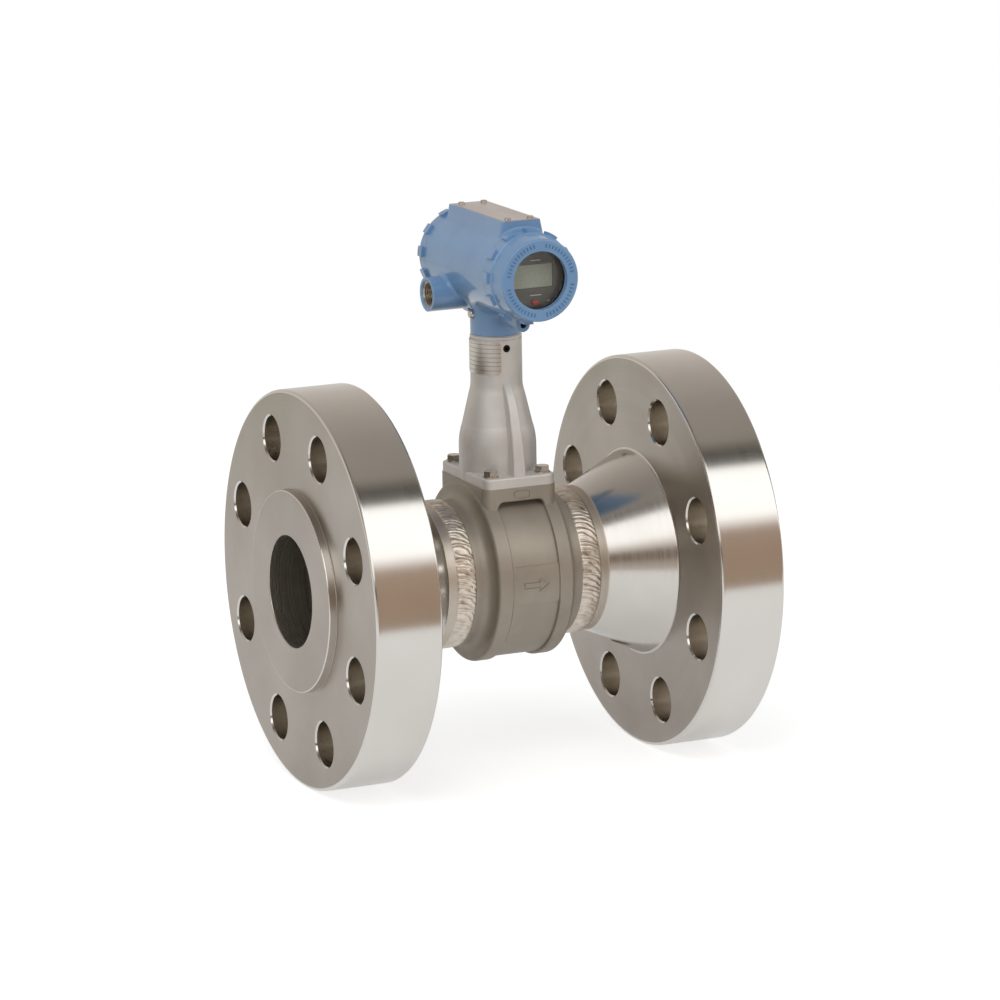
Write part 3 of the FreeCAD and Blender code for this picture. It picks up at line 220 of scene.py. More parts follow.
def makeFloor(spec):
    bm = bmesh.new()
    low, high = Vector(spec["floorLow"]), Vector(spec["floorHigh"])
    middle, half = (low + high) / 2, (high - low) / 2
    bmesh.ops.create_grid(bm, x_segments=1, y_segments=1, size=1)
    bmesh.ops.scale(bm, verts=bm.verts, vec=(half.x, half.y, 1))
    bmesh.ops.translate(bm, verts=bm.verts, vec=(middle.x, middle.y, floorZ))
    mesh = bpy.data.meshes.new("floor")
    bm.to_mesh(mesh)
    bm.free()
    floor = addObject("floor", mesh)
    material, tree = emptyMaterial("palePaperSweep")
    paper = addNode(tree, "BsdfDiffuse", {"Color": grey(spec["paper"])})
    path = addNode(tree, "LightPath")
    mirrored = addNode(tree, "Math", {0: path.outputs["Is Glossy Ray"],
                                      1: path.outputs["Is Transmission Ray"]}, operation="MAXIMUM")
    shine = addNode(tree, "Math", {0: mirrored.outputs[0], 1: spec["paperShine"]}, operation="MULTIPLY")
    seen = addNode(tree, "Math", {0: path.outputs["Is Camera Ray"], 1: spec["paperGlow"]},
                   operation="MULTIPLY")
    strength = addNode(tree, "Math", {0: seen.outputs[0], 1: shine.outputs[0]}, operation="ADD")
    glow = addNode(tree, "Emission", {"Color": grey(1.0), "Strength": strength.outputs[0]})
    both = addNode(tree, "AddShader", {0: paper.outputs[0], 1: glow.outputs[0]})
    addNode(tree, "OutputMaterial", {"Surface": both.outputs[0]})
    mesh.materials.append(material)


bpy.context.scene.view_settings.view_transform = "Standard"
makeCamera(cameraView)
makeWorld(studio)
makeLamp("keyLamp", studio["keyPlace"], headCentre, studio["keyEnergy"], studio["keySize"])
makeLamp("fillLamp", studio["fillPlace"], headCentre, studio["fillEnergy"], studio["fillSize"])
makeFloor(studio)
print("studio ready")


noiseMiddle = (0.3, 0.7)    # where nearly all values of a noise lie


def noiseFactor(tree, vector, size, detail, roughness=0.5):
    # noise with cells of about this size in millimetres
    node = addNode(tree, "TexNoise", {"Vector": vector, "Scale": 1 / (size * mm), "Detail": detail,
                                      "Roughness": roughness})
    return node.outputs["Fac"]


def spread(tree, factor, ends):
    # stretches a noise over the values between both ends
    node = addNode(tree, "MapRange", {"Value": factor, "From Min": noiseMiddle[0], "From Max": noiseMiddle[1],
                                      "To Min": ends[0], "To Max": ends[1]})
    return node.outputs[0]


def twoTone(tree, factor, spec, low=noiseMiddle[0], high=noiseMiddle[1]):
    return ramp(tree, factor, [(low, linear(spec["dark"])), (high, linear(spec["light"]))])


def dress(tree, shader, tone, rough, height, strength, distance):
    # colour, roughness and relief, the last with its depth in millimetres
    bump = addNode(tree, "Bump", {"Height": height, "Strength": strength, "Distance": distance * mm})
    tree.links.new(tone, shader.inputs["Base Color"])
    tree.links.new(rough, shader.inputs["Roughness"])
    tree.links.new(bump.outputs[0], shader.inputs["Normal"])


def objectPlace(tree):
    return addNode(tree, "TexCoord").outputs["Object"]


def turnedSteel(name, spec):
    # stainless forging, turned on a lathe: fine rings that drag the highlights round
    material, tree, shader = newMaterial(name, {"Metallic": 1.0, "Anisotropic": spec["anisotropic"]})
    place = objectPlace(tree)
    split = addNode(tree, "SeparateXYZ", {0: place})
    across = addNode(tree, "CombineXYZ", {"Y": split.outputs["Y"], "Z": split.outputs["Z"]})
    radius = addNode(tree, "VectorMath", {0: across.outputs[0]}, operation="LENGTH")
    ringPlace = addNode(tree, "CombineXYZ", {"X": split.outputs["X"], "Y": radius.outputs["Value"]})
    rings = noiseFactor(tree, ringPlace.outputs[0], spec["ringPitch"], 3.0, 0.6)
    patches = noiseFactor(tree, place, spec["patchSize"], 4.0)
    tangent = addNode(tree, "Tangent", direction_type="RADIAL", axis="X")
    tree.links.new(tangent.outputs[0], shader.inputs["Tangent"])
    rough = spread(tree, rings, spec["roughness"])
    dress(tree, shader, twoTone(tree, patches, spec), rough, rings, spec["bump"], 0.02)
    return material


def blastedCasting(name, spec):
    # stainless casting, bead blasted: even matt grain that scatters part of the light like stone
    material, tree, shader = newMaterial(name, {"Metallic": spec["metallic"]})
    place = objectPlace(tree)
    grit = noiseFactor(tree, place, spec["grit"], 3.0, 0.7)
    skin = noiseFactor(tree, place, spec["skin"], 3.0)
    patches = noiseFactor(tree, place, spec["patchSize"], 5.0, 0.55)
    tone = twoTone(tree, patches, spec, high=0.72)
    height = addNode(tree, "Math", {0: grit, 1: skin}, operation="ADD")
    rough = spread(tree, grit, spec["roughness"])
    dress(tree, shader, tone, rough, height.outputs[0], spec["bump"], 0.12)
    return material


def enamel(name, spec):
    # wet enamel on cast aluminium: semi-gloss with a faint orange peel
    material, tree, shader = newMaterial(name, {
        "Metallic": 0.0, "IOR": 1.5, "Coat Weight": spec["coat"], "Coat Roughness": 0.09, "Coat IOR": 1.5,
    })
    place = objectPlace(tree)
    peel = noiseFactor(tree, place, spec["peel"], 1.0)
    cloud = noiseFactor(tree, place, spec["cloud"], 3.0)
    rough = spread(tree, peel, spec["roughness"])
    dress(tree, shader, twoTone(tree, cloud, spec), rough, peel, spec["bump"], 0.1)
    return material


def mouldedPlastic(name, spec):
    # injection moulding with a fine spark-eroded grain
    material, tree, shader = newMaterial(name, {"Metallic": 0.0, "IOR": 1.46})
    grain = noiseFactor(tree, objectPlace(tree), spec["grain"], 2.0)
    rough = spread(tree, grain, spec["roughness"])
    dress(tree, shader, twoTone(tree, grain, spec), rough, grain, spec["bump"], 0.05)
    return material


def brushedSheet(name, spec):
    # stainless sheet, brushed along the axes that the stretch makes small
    material, tree, shader = newMaterial(name, {"Metallic": 1.0, "Anisotropic": spec["anisotropic"]})
    place = objectPlace(tree)
    stretch = addNode(tree, "Mapping", {"Vector": place, "Scale": spec["stretch"]})
    lines = noiseFactor(tree, stretch.outputs[0], spec["line"], 3.0)
    tone = twoTone(tree, lines, spec, 0.25, 0.75)
    if "rulePitch" in spec:    # level etched rules, one pitch apart
        split = addNode(tree, "SeparateXYZ", {0: place})
        turns = addNode(tree, "Math", {0: split.outputs["Z"], 1: 1 / (spec["rulePitch"] * mm)},
                        operation="MULTIPLY")
        step = addNode(tree, "Math", {0: turns.outputs[0]}, operation="FRACT")
        rule = addNode(tree, "Math", {0: step.outputs[0], 1: spec["ruleWidth"] / spec["rulePitch"]},
                       operation="LESS_THAN")
        ruled = addNode(tree, "MixRGB", {"Fac": rule.outputs[0], "Color1": tone,
                                         "Color2": linear(spec["ruleColour"])})
        tone = ruled.outputs["Color"]
    rough = spread(tree, lines, spec["roughness"])
    dress(tree, shader, tone, rough, lines, spec["bump"], 0.02)
    return material


def weldMetal(name, spec):
    # bare weld bead: silver ridges, straw and brown heat tint that varies at random, and painted shade that
    # darkens the hollows between the ripples
    material, tree, shader = newMaterial(name, {"Metallic": 1.0})
    place = objectPlace(tree)
    heat = noiseFactor(tree, place, spec["heat"], 4.0)
    # painted shade: the ripples' hollows, as the mesh marks them, push the colour towards dark
    hollowShade = addNode(tree, "Attribute", attribute_name="hollowShade")
    tintAndShade = addNode(tree, "Math", {0: heat, 1: hollowShade.outputs["Fac"]}, operation="ADD")
    tone = ramp(tree, tintAndShade.outputs[0], [(0.35, linear(spec["light"])), (0.75, linear(spec["middle"])),
                                        (1.0, linear(spec["dark"]))])
    grain = noiseFactor(tree, place, spec["grain"], 3.0)
    rough = spread(tree, grain, spec["roughness"])
    dress(tree, shader, tone, rough, grain, spec["bump"], 0.1)
    return material


def clearGlass(name, spec):
    # polished borosilicate pane that lets the lamps through to the display
    material, tree = emptyMaterial(name)
    rough = spread(tree, noiseFactor(tree, objectPlace(tree), spec["haze"], 2.0), spec["roughness"])
    shader = addNode(tree, "BsdfPrincipled", {"Base Color": linear(spec["colour"]), "Roughness": rough,
                                              "IOR": 1.47, "Transmission Weight": 1.0})
    through = addNode(tree, "BsdfTransparent", {"Color": grey(spec["clear"])})
    path = addNode(tree, "LightPath")
    dull = addNode(tree, "Math", {0: path.outputs["Is Shadow Ray"], 1: path.outputs["Is Diffuse Ray"]},
                   operation="MAXIMUM")
    mixed = addNode(tree, "MixShader", {"Fac": dull.outputs[0], 1: shader.outputs[0], 2: through.outputs[0]})
    addNode(tree, "OutputMaterial", {"Surface": mixed.outputs[0]})
    return material


flangeFaceSteel = turnedSteel("turnedFaceSteel", {
    "dark": "#a8a096", "light": "#b4aca3", "roughness": (0.28, 0.38), "ringPitch": 0.9, "patchSize": 60,
    "bump": 0.15, "anisotropic": 0.5,
})
flangeRimSteel = turnedSteel("polishedRimSteel", {
    "dark": "#dad6d0", "light": "#e0ddd8", "roughness": (0.12, 0.14), "ringPitch": 1.2, "patchSize": 80,
    "bump": 0.03, "anisotropic": 0.6,
})
hubSteel = turnedSteel("turnedHubSteel", {
    "dark": "#d2cec8", "light": "#dad6d0", "roughness": (0.12, 0.19), "ringPitch": 1.0, "patchSize": 50,
    "bump": 0.06, "anisotropic": 0.6,
})
landSteel = turnedSteel("brushedLandSteel", {
    "dark": "#c3b9ac", "light": "#d2c9bd", "roughness": (0.36, 0.46), "ringPitch": 0.8, "patchSize": 20,
    "bump": 0.1, "anisotropic": 0.3,
})
boreSteel = turnedSteel("boredSteel", {
    "dark": "#e0dcd2", "light": "#e9e5dc", "roughness": (0.24, 0.34), "ringPitch": 1.6, "patchSize": 40,
    "bump": 0.04, "anisotropic": 0.4,
})
drilledSteel = turnedSteel("drilledHoleSteel", {
    "dark": "#cfc8bd", "light": "#d9d3c9", "roughness": (0.24, 0.27), "ringPitch": 6.0, "patchSize": 40,
    "bump": 0.01, "anisotropic": 0.0,
})
weldSteel = weldMetal("weldBeadSteel", {
    "light": "#efe6da", "middle": "#cdc1b2", "dark": "#8d7e70", "roughness": (0.3, 0.45), "heat": 7,
    "grain": 0.8, "bump": 0.35,
})
bodySteel = blastedCasting("blastedBodySteel", {
    "dark": "#a0978a", "light": "#afa698", "roughness": (0.42, 0.55), "grit": 0.5, "skin": 3.0,
    "patchSize": 35, "bump": 0.3, "metallic": 0.65,
})
tubeSteel = blastedCasting("blastedTubeSteel", {
    "dark": "#d0cbc5", "light": "#dcd8d3", "roughness": (0.4, 0.52), "grit": 0.45, "skin": 2.5,
    "patchSize": 25, "bump": 0.35, "metallic": 0.5,
})
brightSteel = brushedSheet("brightScrewSteel", {
    "dark": "#bdb8b1", "light": "#d2cdc7", "roughness": (0.16, 0.26), "line": 0.6, "stretch": (1, 1, 1),
    "bump": 0.2, "anisotropic": 0.0,
})
blackSteel = brushedSheet("blackenedScrewSteel", {
    "dark": "#2b2926", "light": "#3a3733", "roughness": (0.3, 0.42), "line": 0.6, "stretch": (1, 1, 1),
    "bump": 0.2, "anisotropic": 0.0,
})
threadSteel = brushedSheet("cutThreadMetal", {
    "dark": "#b5aa98", "light": "#cabfae", "roughness": (0.2, 0.32), "line": 0.5, "stretch": (1, 1, 1),
    "bump": 0.2, "anisotropic": 0.0,
})
plateSteel = brushedSheet("satinPlateSteel", {
    "dark": "#dcd5d3", "light": "#e8e2e0", "roughness": (0.34, 0.42), "line": 0.5, "stretch": (1, 0.04, 1),
    "bump": 0.15, "anisotropic": 0.3,
})
tagSteel = brushedSheet("etchedTagSteel", {
    "dark": "#d0cbc7", "light": "#dedad6", "roughness": (0.26, 0.36), "line": 0.5, "stretch": (0.05, 0.05, 1),
    "bump": 0.15, "anisotropic": 0.2, "ruleColour": "#938d88", "rulePitch": 3.4, "ruleWidth": 0.4,
})
blueEnamel = enamel("blueEnamel", {
    "dark": "#6b90b8", "light": "#7398bf", "roughness": (0.3, 0.4), "coat": 0.7, "peel": 1.6, "cloud": 30,
    "bump": 0.1,
})
# the cover's blue made darker for the raised ticks: painted shade
tickEnamelPaintedShade = enamel("paintedShadeBlueEnamel", {
    "dark": "#44719c", "light": "#4a78a3", "roughness": (0.34, 0.44), "coat": 0.3, "peel": 1.6, "cloud": 30,
    "bump": 0.1,
})
blackPlastic = mouldedPlastic("blackMouldedNylon", {
    "dark": "#1b1b1b", "light": "#242424", "roughness": (0.5, 0.62), "grain": 0.5, "bump": 0.2,
})
bezelPlastic = mouldedPlastic("darkBezelPolycarbonate", {
    "dark": "#59524a", "light": "#635c54", "roughness": (0.42, 0.52), "grain": 0.4, "bump": 0.15,
})
redPlastic = mouldedPlastic("redJumperNylon", {
    "dark": "#c02a24", "light": "#d5352c", "roughness": (0.3, 0.4), "grain": 0.6, "bump": 0.1,
})
lcdFilm = mouldedPlastic("displayFilm", {
    "dark": "#b8b5a1", "light": "#c1beaa", "roughness": (0.22, 0.3), "grain": 1.5, "bump": 0.03,
})
sealRubber = mouldedPlastic("nitrileRubber", {
    "dark": "#161616", "light": "#202020", "roughness": (0.55, 0.7), "grain": 0.6, "bump": 0.2,
})
printInk = mouldedPlastic("whitePrintInk", {
    "dark": "#cfccc4", "light": "#dedbd4", "roughness": (0.5, 0.6), "grain": 0.4, "bump": 0.05,
})
paneGlass = clearGlass("polishedWindowGlass", {
    "colour": "#eef3f0", "clear": 0.92, "haze": 12, "roughness": (0.0, 0.03),
})

cadMaterials = {
    bodySteel: ["meter_body"],
    tubeSteel: ["support_tube"],
    boreSteel: ["shedder_bar", "inlet_flange", "outlet_flange"],
    weldSteel: ["inlet_weld", "outlet_weld"],
    brightSteel: ["sensor", "sensor_nut", "support_tube_bolts", "support_tube_washers", "nameplate_screws",
                  "display_screws", "terminal_screws", "internal_ground_screw", "external_ground_screw",
                  "window_retainer"],
    blackSteel: ["tube_lock_screws", "cover_lock_screws"],
    plateSteel: ["nameplate"],
    tagSteel: ["tube_tag"],
    blueEnamel: ["electronics_housing", "front_cover", "rear_cover"],
    blackPlastic: ["sensor_connector", "electronics_module", "terminal_block"],
    bezelPlastic: ["display_bezel"],
    lcdFilm: ["lcd_panel"],
    redPlastic: ["security_jumper"],
    sealRubber: ["sensor_cable", "neck_seal", "front_cover_seal", "rear_cover_seal"],
    paneGlass: ["window_glass"],
}
for material, names in cadMaterials.items():
    for name in names:
        mesh = nodes[name].data
        mesh.materials.clear()
        mesh.materials.append(material)
print("materials ready")


def makePiece(bm, name, body, materials, sharpAngle=35):
    mesh = bpy.data.meshes.new(name)
    bm.to_mesh(mesh)
    bm.free()
    for material in materials:
        mesh.materials.append(material)
    mesh.shade_smooth()
    mesh.set_sharp_from_angle(angle=math.radians(sharpAngle))
    piece = addObject(name, mesh)
    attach(piece, body)
    return piece


def spinProfile(bm, points, centre, steps, isClosed=True):
    # adds a profile turned about a line along X
    verts = [bm.verts.new(point) for point in points]
    edges = [bm.edges.new(pair) for pair in zip(verts, verts[1:])]
    if isClosed:
        edges.append(bm.edges.new((verts[-1], verts[0])))
    bmesh.ops.spin(bm, geom=verts + edges, cent=centre, axis=xAxis, dvec=(0, 0, 0), angle=math.tau,
                   steps=steps, use_merge=True, use_duplicate=False)


def closeSeams(bm):
    bmesh.ops.remove_doubles(bm, verts=bm.verts, dist=seamGap)
    bmesh.ops.recalc_face_normals(bm, faces=bm.faces)


def roundOff(bm, geom, radius, segments, affect="EDGES"):
    bmesh.ops.bevel(bm, geom=geom, offset=radius, offset_type="OFFSET", affect=affect, segments=segments,
                    profile=0.5, material=-1)


def distanceFromPipeAxis(place):
    return math.hypot(place.y, place.z)


def ringEdges(bm, along, radius):
    # edges of the circle about the pipe axis at this x and radius
    def isOn(vert):
        return (abs(vert.co.x - along) < tolerance
                and abs(distanceFromPipeAxis(vert.co) - radius) < tolerance)
    return [edge for edge in bm.edges if isOn(edge.verts[0]) and isOn(edge.verts[1])]


def edgesAcross(bm):
    # the edges that run from the front of a raised mark to its back
    return [edge for edge in bm.edges if abs(edge.verts[0].co.y - edge.verts[1].co.y) > tolerance]


def cutAway(piece, cutter):
    # takes the cutter out of the piece for good
    modifier = piece.modifiers.new("cut", "BOOLEAN")
    modifier.operation = "DIFFERENCE"
    modifier.solver = "EXACT"
    modifier.object = cutter
    bpy.context.view_layer.update()
    shaped = piece.evaluated_get(bpy.context.evaluated_depsgraph_get())
    mesh = bpy.data.meshes.new_from_object(shaped)
    piece.modifiers.clear()
    old = piece.data
    piece.data = mesh
    mesh.name = piece.name
    bpy.data.meshes.remove(old)
    bpy.data.objects.remove(cutter)


def flattenNormals(piece):
    # wide flat faces keep their own normals beside rounded edges
    modifier = piece.modifiers.new("normals", "WEIGHTED_NORMAL")
    modifier.weight = 100
    modifier.keep_sharp = True


flangeForm = {
    "rim": 155.6 * mm,
    "plate": 53.8 * mm,
    "face": 78.6 * mm,
    "faceHeight": 6.4 * mm,
    "bore": 43.65 * mm,
    "hubBase": 81.0 * mm,
    "hubTip": 57.15 * mm,
    "hubLength": 48.8 * mm,
    "land": 6.8 * mm,
    "bevel": 6.5 * mm,
    "boltCircle": 120.65 * mm,
    "boltHole": 17.45 * mm,
    "boltCount": 8,
    "rimRound": 2.5 * mm,
    "hubRound": 1.2 * mm,
    "edgeRound": 0.8 * mm,
    "chamfer": 1.2 * mm,
    "nearFace": 0.9,         # share of the raised face's height that has the rim's polish
    "boreMargin": 0.2 * mm,
    "wallSlope": 0.01,
    "over": 2 * mm,          # how far the hole cutter reaches past the faces
    "holeSteps": 64,
    "steps": 288,
    "sharpAngle": 30,
}
flangeFinishes = {
    "face": flangeFaceSteel, "rim": flangeRimSteel, "hub": hubSteel, "bore": boreSteel, "hole": drilledSteel,
    "land": landSteel,
}


def makeFlange(spec):
    finish = {key: place for place, key in enumerate(flangeFinishes)}
    front, plateEnd = spec["faceHeight"], spec["faceHeight"] + spec["plate"]
    hubEnd = plateEnd + spec["hubLength"]
    tip = hubEnd + spec["land"]
    profile = [
        (0, spec["bore"]), (0, spec["face"]), (front, spec["face"]), (front, spec["rim"]),
        (plateEnd, spec["rim"]), (plateEnd, spec["hubBase"]), (hubEnd, spec["hubTip"]), (tip, spec["hubTip"]),
        (tip + spec["bevel"], spec["bore"]),
    ]
    bm = bmesh.new()
    spinProfile(bm, [(x, 0, radius) for x, radius in profile], (0, 0, 0), spec["steps"])
    closeSeams(bm)
    rounds = [
        (spec["rimRound"], [(front, spec["rim"]), (plateEnd, spec["rim"])], 5),
        (spec["hubRound"], [(plateEnd, spec["hubBase"])], 4),
        (spec["edgeRound"], [(0, spec["face"]), (0, spec["bore"]), (front, spec["face"]),
                             (hubEnd, spec["hubTip"])], 3),
    ]
    for radius, rings, segments in rounds:
        roundOff(bm, [edge for ring in rings for edge in ringEdges(bm, *ring)], radius, segments)
    for face in bm.faces:
        centre = face.calc_center_median()
        radius = distanceFromPipeAxis(centre)
        isFaceEdge = centre.x < spec["nearFace"] * front and radius > spec["face"] - spec["edgeRound"]
        if radius < spec["bore"] + spec["boreMargin"]:
            face.material_index = finish["bore"]
        elif radius > spec["rim"] - spec["rimRound"] or isFaceEdge:
            face.material_index = finish["rim"]
        elif centre.x > hubEnd:
            face.material_index = finish["land"]
        elif centre.x > plateEnd and radius < spec["hubBase"] + spec["hubRound"]:
            face.material_index = finish["hub"]
    flange = makePiece(bm, "inletFlange", "body", flangeFinishes.values(),
                       spec["sharpAngle"])
    cutter = bmesh.new()
    inner, outer, over = spec["boltHole"], spec["boltHole"] + spec["chamfer"], spec["over"]
    hole = [
        (front - over, 0), (front - over, outer + over), (front + spec["chamfer"], inner),
        (plateEnd - spec["chamfer"], inner), (plateEnd + over, outer + over), (plateEnd + over, 0),
    ]
    for index in range(spec["boltCount"]):
        angle = math.tau / spec["boltCount"] * (index + 0.5)
        centre = Vector((0, spec["boltCircle"] * math.cos(angle), spec["boltCircle"] * math.sin(angle)))
        points = [centre + Vector((x, 0, radius)) for x, radius in hole]
        spinProfile(cutter, points, centre, spec["holeSteps"], isClosed=False)
    closeSeams(cutter)
    for face in cutter.faces:
        # drilled wall, bright chamfer
        isWall = abs(face.normal.x) < spec["wallSlope"]
        face.material_index = finish["hole"] if isWall else finish["rim"]
    mesh = bpy.data.meshes.new("holes")
    cutter.to_mesh(mesh)
    cutter.free()
    for material in flange.data.materials:
        mesh.materials.append(material)
    cutAway(flange, addObject("holes", mesh))
    flange.data.set_sharp_from_angle(angle=math.radians(spec["sharpAngle"]))
    flattenNormals(flange)
    return flange


def mirroredPiece(piece, name, planeX):
    # the same piece on the outlet side
    bm = bmesh.new()
    bm.from_mesh(piece.data)
    bmesh.ops.scale(bm, vec=(-1, 1, 1), verts=bm.verts)
    bmesh.ops.translate(bm, vec=(2 * planeX, 0, 0), verts=bm.verts)
    bmesh.ops.reverse_faces(bm, faces=bm.faces)
    mesh = piece.data.copy()
    bm.to_mesh(mesh)
    bm.free()
    mesh.name = name
    copy = addObject(name, mesh)
    flattenNormals(copy)
    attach(copy, "body")
    return copy


inletFlange = makeFlange(flangeForm)
outletFlange = mirroredPiece(inletFlange, "outletFlange", stemX)
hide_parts("inlet_flange")
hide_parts("outlet_flange")
print("flanges ready")


weldForm = {
    "start": 115.8 * mm,
    "width": 16.0 * mm,
    "pipe": 57.15 * mm,
    "bore": 43.65 * mm,
    "bevel": 6.5 * mm,
    "crown": 1.0 * mm,
    "ripplePitch": 4.1 * mm,
    "rippleHeight": 0.5 * mm,
    "bow": -2.2 * mm,                      # how far a ripple's middle trails its ends
    "slant": -3.5 * mm,
    "skew": 0.62,                          # below 1 a ripple peaks early in its pitch
    "wander": [(0.8, 0.9), (2.3, 0.35)],   # noise scales, and the shares of a pitch that the ripples stray
    "unevenness": 0.45,
    "rippleStep": 3.7,                     # how far apart the noise is read for one ripple and the next
    "rippleDraw": 0.5,
    "rippleMean": 0.5,                     # this height of a ripple lies on the crown's own curve
    "noiseRadius": 9,                      # of the circle on which the noise is read round the bead
    "drift": 0.5,
    "fineCount": 3,                        # small waves in each ripple
    "fineHeight": 0.12,
    "fineStray": 3,
    "fineScale": 3,
    "smoothFrom": 0.1,                     # shares of the radius below the axis where the ripples fade
    "smoothTo": 0.75,
    "smoothShare": 0.75,
    "crownShape": 0.6,
    "edgeFade": 3,
    # how far the painted shade darkens a ripple's hollow
    "tintAndShade": 0.36,
    "steps": 900,
    "across": 30,
    "sharpAngle": 60,
}


def makeWeld(spec, name, node, seed):
    rootEnd = spec["start"] + spec["width"] - spec["bevel"]
    profile = [(rootEnd, spec["bore"]), (spec["start"] + spec["bevel"], spec["bore"])]
    for index in range(spec["across"] + 1):
        profile.append((spec["start"] + spec["width"] * index / spec["across"], spec["pipe"]))
    bm = bmesh.new()
    spinProfile(bm, [(x, 0, radius) for x, radius in profile], (0, 0, 0), spec["steps"])
    closeSeams(bm)
    hollowShade = bm.verts.layers.float.new("hollowShade")
    middle = spec["start"] + spec["width"] / 2
    for vert in bm.verts:
        radius = distanceFromPipeAxis(vert.co)
        if radius < spec["pipe"] - tolerance:
            continue
        angle = math.atan2(vert.co.z, vert.co.y)
        across = (vert.co.x - middle) / (spec["width"] / 2)
        around = Vector((math.cos(angle) * spec["noiseRadius"], math.sin(angle) * spec["noiseRadius"], seed))
        drift = around + Vector((0, 0, across * spec["drift"]))
        wander = sum(noise.noise(around * scale) * share for scale, share in spec["wander"])
        lead = spec["bow"] * across * across + spec["slant"] * across
        run = angle * spec["pipe"] + lead + wander * spec["ripplePitch"]
        phase = run / spec["ripplePitch"]
        number = math.floor(phase)
        # no two ripples are alike
        uneven = noise.noise(Vector((number * spec["rippleStep"], seed, spec["rippleDraw"])))
        stray = spec["fineStray"] * noise.noise(drift * spec["fineScale"])
        fine = spec["fineHeight"] * math.sin(math.tau * phase * spec["fineCount"] + stray)
        ripple = math.sin(math.pi * (phase - number) ** spec["skew"]) + fine
        depth = (-math.sin(angle) - spec["smoothFrom"]) / (spec["smoothTo"] - spec["smoothFrom"])
        fade = 1 - spec["smoothShare"] * min(1.0, max(0.0, depth))
        strength = (1 + spec["unevenness"] * uneven) * fade
        edge = max(0.0, 1 - across * across)
        crown = spec["crown"] * edge ** spec["crownShape"]
        wave = spec["rippleHeight"] * strength * (ripple - spec["rippleMean"])
        wave *= min(1.0, spec["edgeFade"] * edge)
        scale = 1 + max(0.0, crown + wave) / radius
        vert.co.y *= scale
        vert.co.z *= scale
        # painted shade, darkest at the bottom of each ripple's hollow
        vert[hollowShade] = (1 - ripple) * spec["tintAndShade"] * strength
    weld = makePiece(bm, name, "body", [weldSteel], spec["sharpAngle"])
    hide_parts(node)


makeWeld(weldForm, "inletWeld", "inlet_weld", seed=1.3)
outletForm = dict(weldForm, start=2 * stemX - weldForm["start"] - weldForm["width"])
makeWeld(outletForm, "outletWeld", "outlet_weld", seed=7.9)
print("welds ready")


threadForm = {
    "reach": 47.0 * mm,      # from the stem's axis to each mouth
    "y": 24.5 * mm,
    "drop": 23.5 * mm,
    "outer": 10.5 * mm,
    "root": 10.1 * mm,
    "crest": 9.1 * mm,
    "pitch": 1.81 * mm,
    "start": 1.4 * mm,
    "crestFrom": 0.44,       # shares of the pitch between which the thread is at its crest
    "crestTo": 0.56,
    "turns": 9,
    "steps": 96,
}


def makeConduitThread(spec, name, side):
    # thread of a cable entry, cut after painting and so bare, drawn as level rings
    centre = Vector((stemX + side * spec["reach"], spec["y"], headZ - spec["drop"]))
    profile = [(spec["start"], spec["outer"])]
    for turn in range(spec["turns"]):
        along = spec["start"] + turn * spec["pitch"]
        profile += [(along, spec["root"]), (along + spec["crestFrom"] * spec["pitch"], spec["crest"]),
                    (along + spec["crestTo"] * spec["pitch"], spec["crest"])]
    end = spec["start"] + spec["turns"] * spec["pitch"]
    profile += [(end, spec["root"]), (end, spec["outer"])]
    points = [centre + Vector((-side * along, 0, radius)) for along, radius in profile]
    bm = bmesh.new()
    spinProfile(bm, points, centre, spec["steps"])
    closeSeams(bm)
    makePiece(bm, name, "head", [threadSteel])


makeConduitThread(threadForm, "leftConduitThread", -1)
makeConduitThread(threadForm, "rightConduitThread", 1)
print("conduit threads ready")


tagForm = {
    "radius": 20.3 * mm,
    "thickness": 0.55 * mm,
    "low": 157.0 * mm,
    "high": 182.2 * mm,
    "halfAngle": 76.0,       # degrees to each side of the inlet's direction
    "corner": 2.6 * mm,
    "columns": 44,
}


def makeTubeTag(spec):
    # flat blank with rounded corners, cut in columns and then bent round the tube
    bm = bmesh.new()
    halfWidth = math.radians(spec["halfAngle"]) * spec["radius"]
    corners = [(-1, "low"), (1, "low"), (1, "high"), (-1, "high")]
    verts = [bm.verts.new((side * halfWidth, 0, spec[end])) for side, end in corners]
    bm.faces.new(verts)
    roundOff(bm, verts, spec["corner"], segments=6, affect="VERTICES")
    for column in range(1, spec["columns"]):
        place = -halfWidth + 2 * halfWidth * column / spec["columns"]
        bmesh.ops.bisect_plane(bm, geom=bm.verts[:] + bm.edges[:] + bm.faces[:], dist=seamGap,
                               plane_co=(place, 0, 0), plane_no=xAxis)
    bmesh.ops.recalc_face_normals(bm, faces=bm.faces)
    skin = bmesh.ops.extrude_face_region(bm, geom=bm.faces[:])
    raised = [part for part in skin["geom"] if isinstance(part, bmesh.types.BMVert)]
    bmesh.ops.translate(bm, verts=raised, vec=yAxis * -spec["thickness"])
    for vert in bm.verts:
        angle = math.pi + vert.co.x / spec["radius"]
        reach = spec["radius"] - vert.co.y
        vert.co.x, vert.co.y = stemX + reach * math.cos(angle), reach * math.sin(angle)
    bmesh.ops.recalc_face_normals(bm, faces=bm.faces)
    tag = makePiece(bm, "tubeTag", "body", [tagSteel])
    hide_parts("tube_tag")


makeTubeTag(tagForm)
print("tube tag ready")


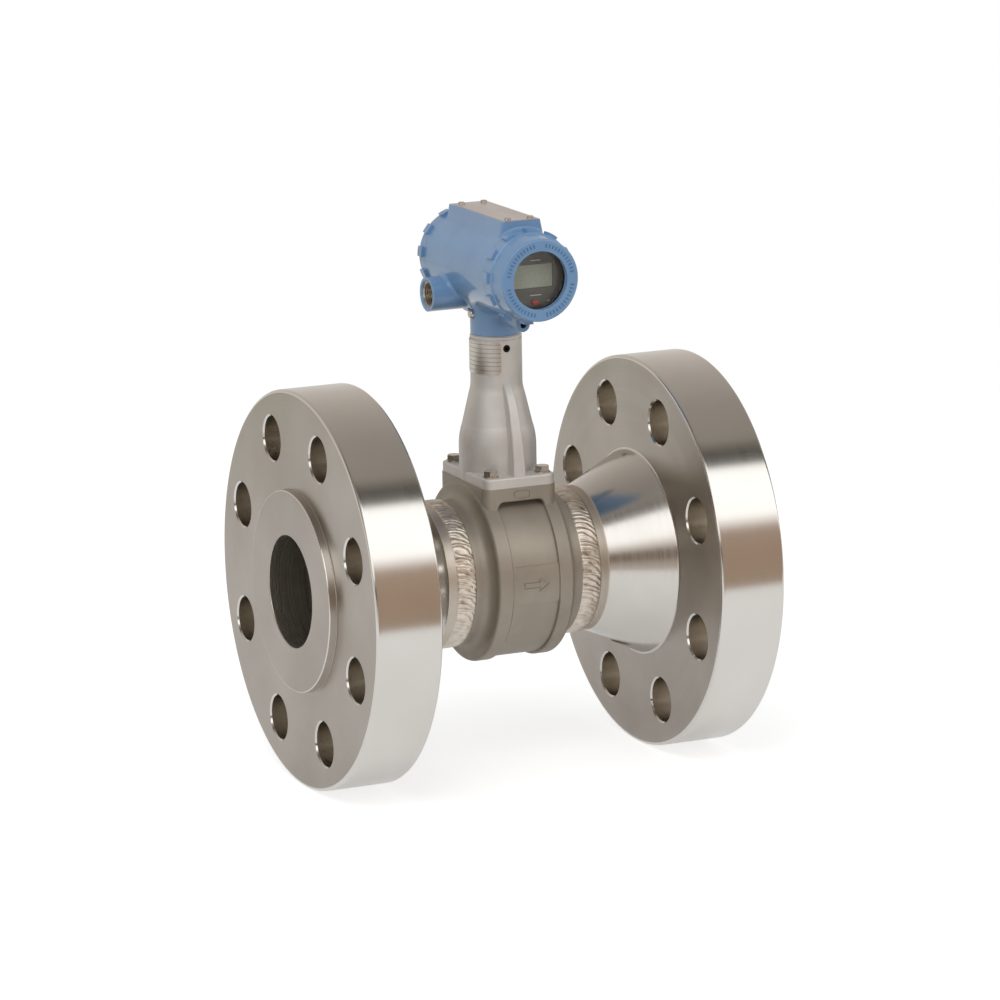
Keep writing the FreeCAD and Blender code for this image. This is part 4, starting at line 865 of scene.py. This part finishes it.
tickForm = {
    "inner": 25.4 * mm,
    "length": 3.0 * mm,
    "width": 0.9 * mm,
    "height": 0.35 * mm,
    "sink": 0.15 * mm,
    "groups": 4,
    "ticksInGroup": 12,
    "pitch": 6.2,            # degrees between ticks
    "firstGroup": 45.0,
    "corner": 0.3 * mm,
}


def makeCoverTicks(spec):
    # raised plain ticks cast on the cover's front ring, in four groups, in a darker blue than the cover that
    # paints their shade
    bm = bmesh.new()
    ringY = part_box("front_cover")[0].y
    depth = spec["height"] + spec["sink"]
    for group in range(spec["groups"]):
        for tick in range(spec["ticksInGroup"]):
            middle = spec["firstGroup"] + 360 / spec["groups"] * group
            turn = middle + spec["pitch"] * (tick - (spec["ticksInGroup"] - 1) / 2)
            verts = bmesh.ops.create_cube(bm, size=1)["verts"]
            bmesh.ops.scale(bm, verts=verts, vec=(spec["width"], depth, spec["length"]))
            place = (0, ringY + spec["sink"] - depth / 2, spec["inner"] + spec["length"] / 2)
            bmesh.ops.translate(bm, verts=verts, vec=place)
            swing = Matrix.Rotation(math.radians(turn), 3, "Y")
            bmesh.ops.rotate(bm, verts=verts, cent=(0, 0, 0), matrix=swing)
            bmesh.ops.translate(bm, verts=verts, vec=(stemX, 0, headZ))
    roundOff(bm, edgesAcross(bm), spec["corner"], segments=2)
    makePiece(bm, "frontCoverTicks", "front_cover", [tickEnamelPaintedShade])


makeCoverTicks(tickForm)
print("cover ticks ready")


# printed rules on the display's face: place across and up, length, width
faceMarks = {
    "thickness": 0.1 * mm,
    "corner": 0.25 * mm,
    "rules": [(180.2, 253.2, 8.0, 0.7), (180.2, 226.3, 9.5, 0.7), (190.6, 221.3, 2.2, 0.8)],
}


def makeFaceMarks(spec):
    bm = bmesh.new()
    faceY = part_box("display_bezel")[0].y
    for across, up, length, width in spec["rules"]:
        verts = bmesh.ops.create_cube(bm, size=1)["verts"]
        bmesh.ops.scale(bm, verts=verts, vec=(length * mm, 2 * spec["thickness"], width * mm))
        bmesh.ops.translate(bm, verts=verts, vec=(across * mm, faceY, up * mm))
    roundOff(bm, edgesAcross(bm), spec["corner"], segments=2)
    makePiece(bm, "displayFaceMarks", "head", [printInk])


makeFaceMarks(faceMarks)
print("face marks ready")
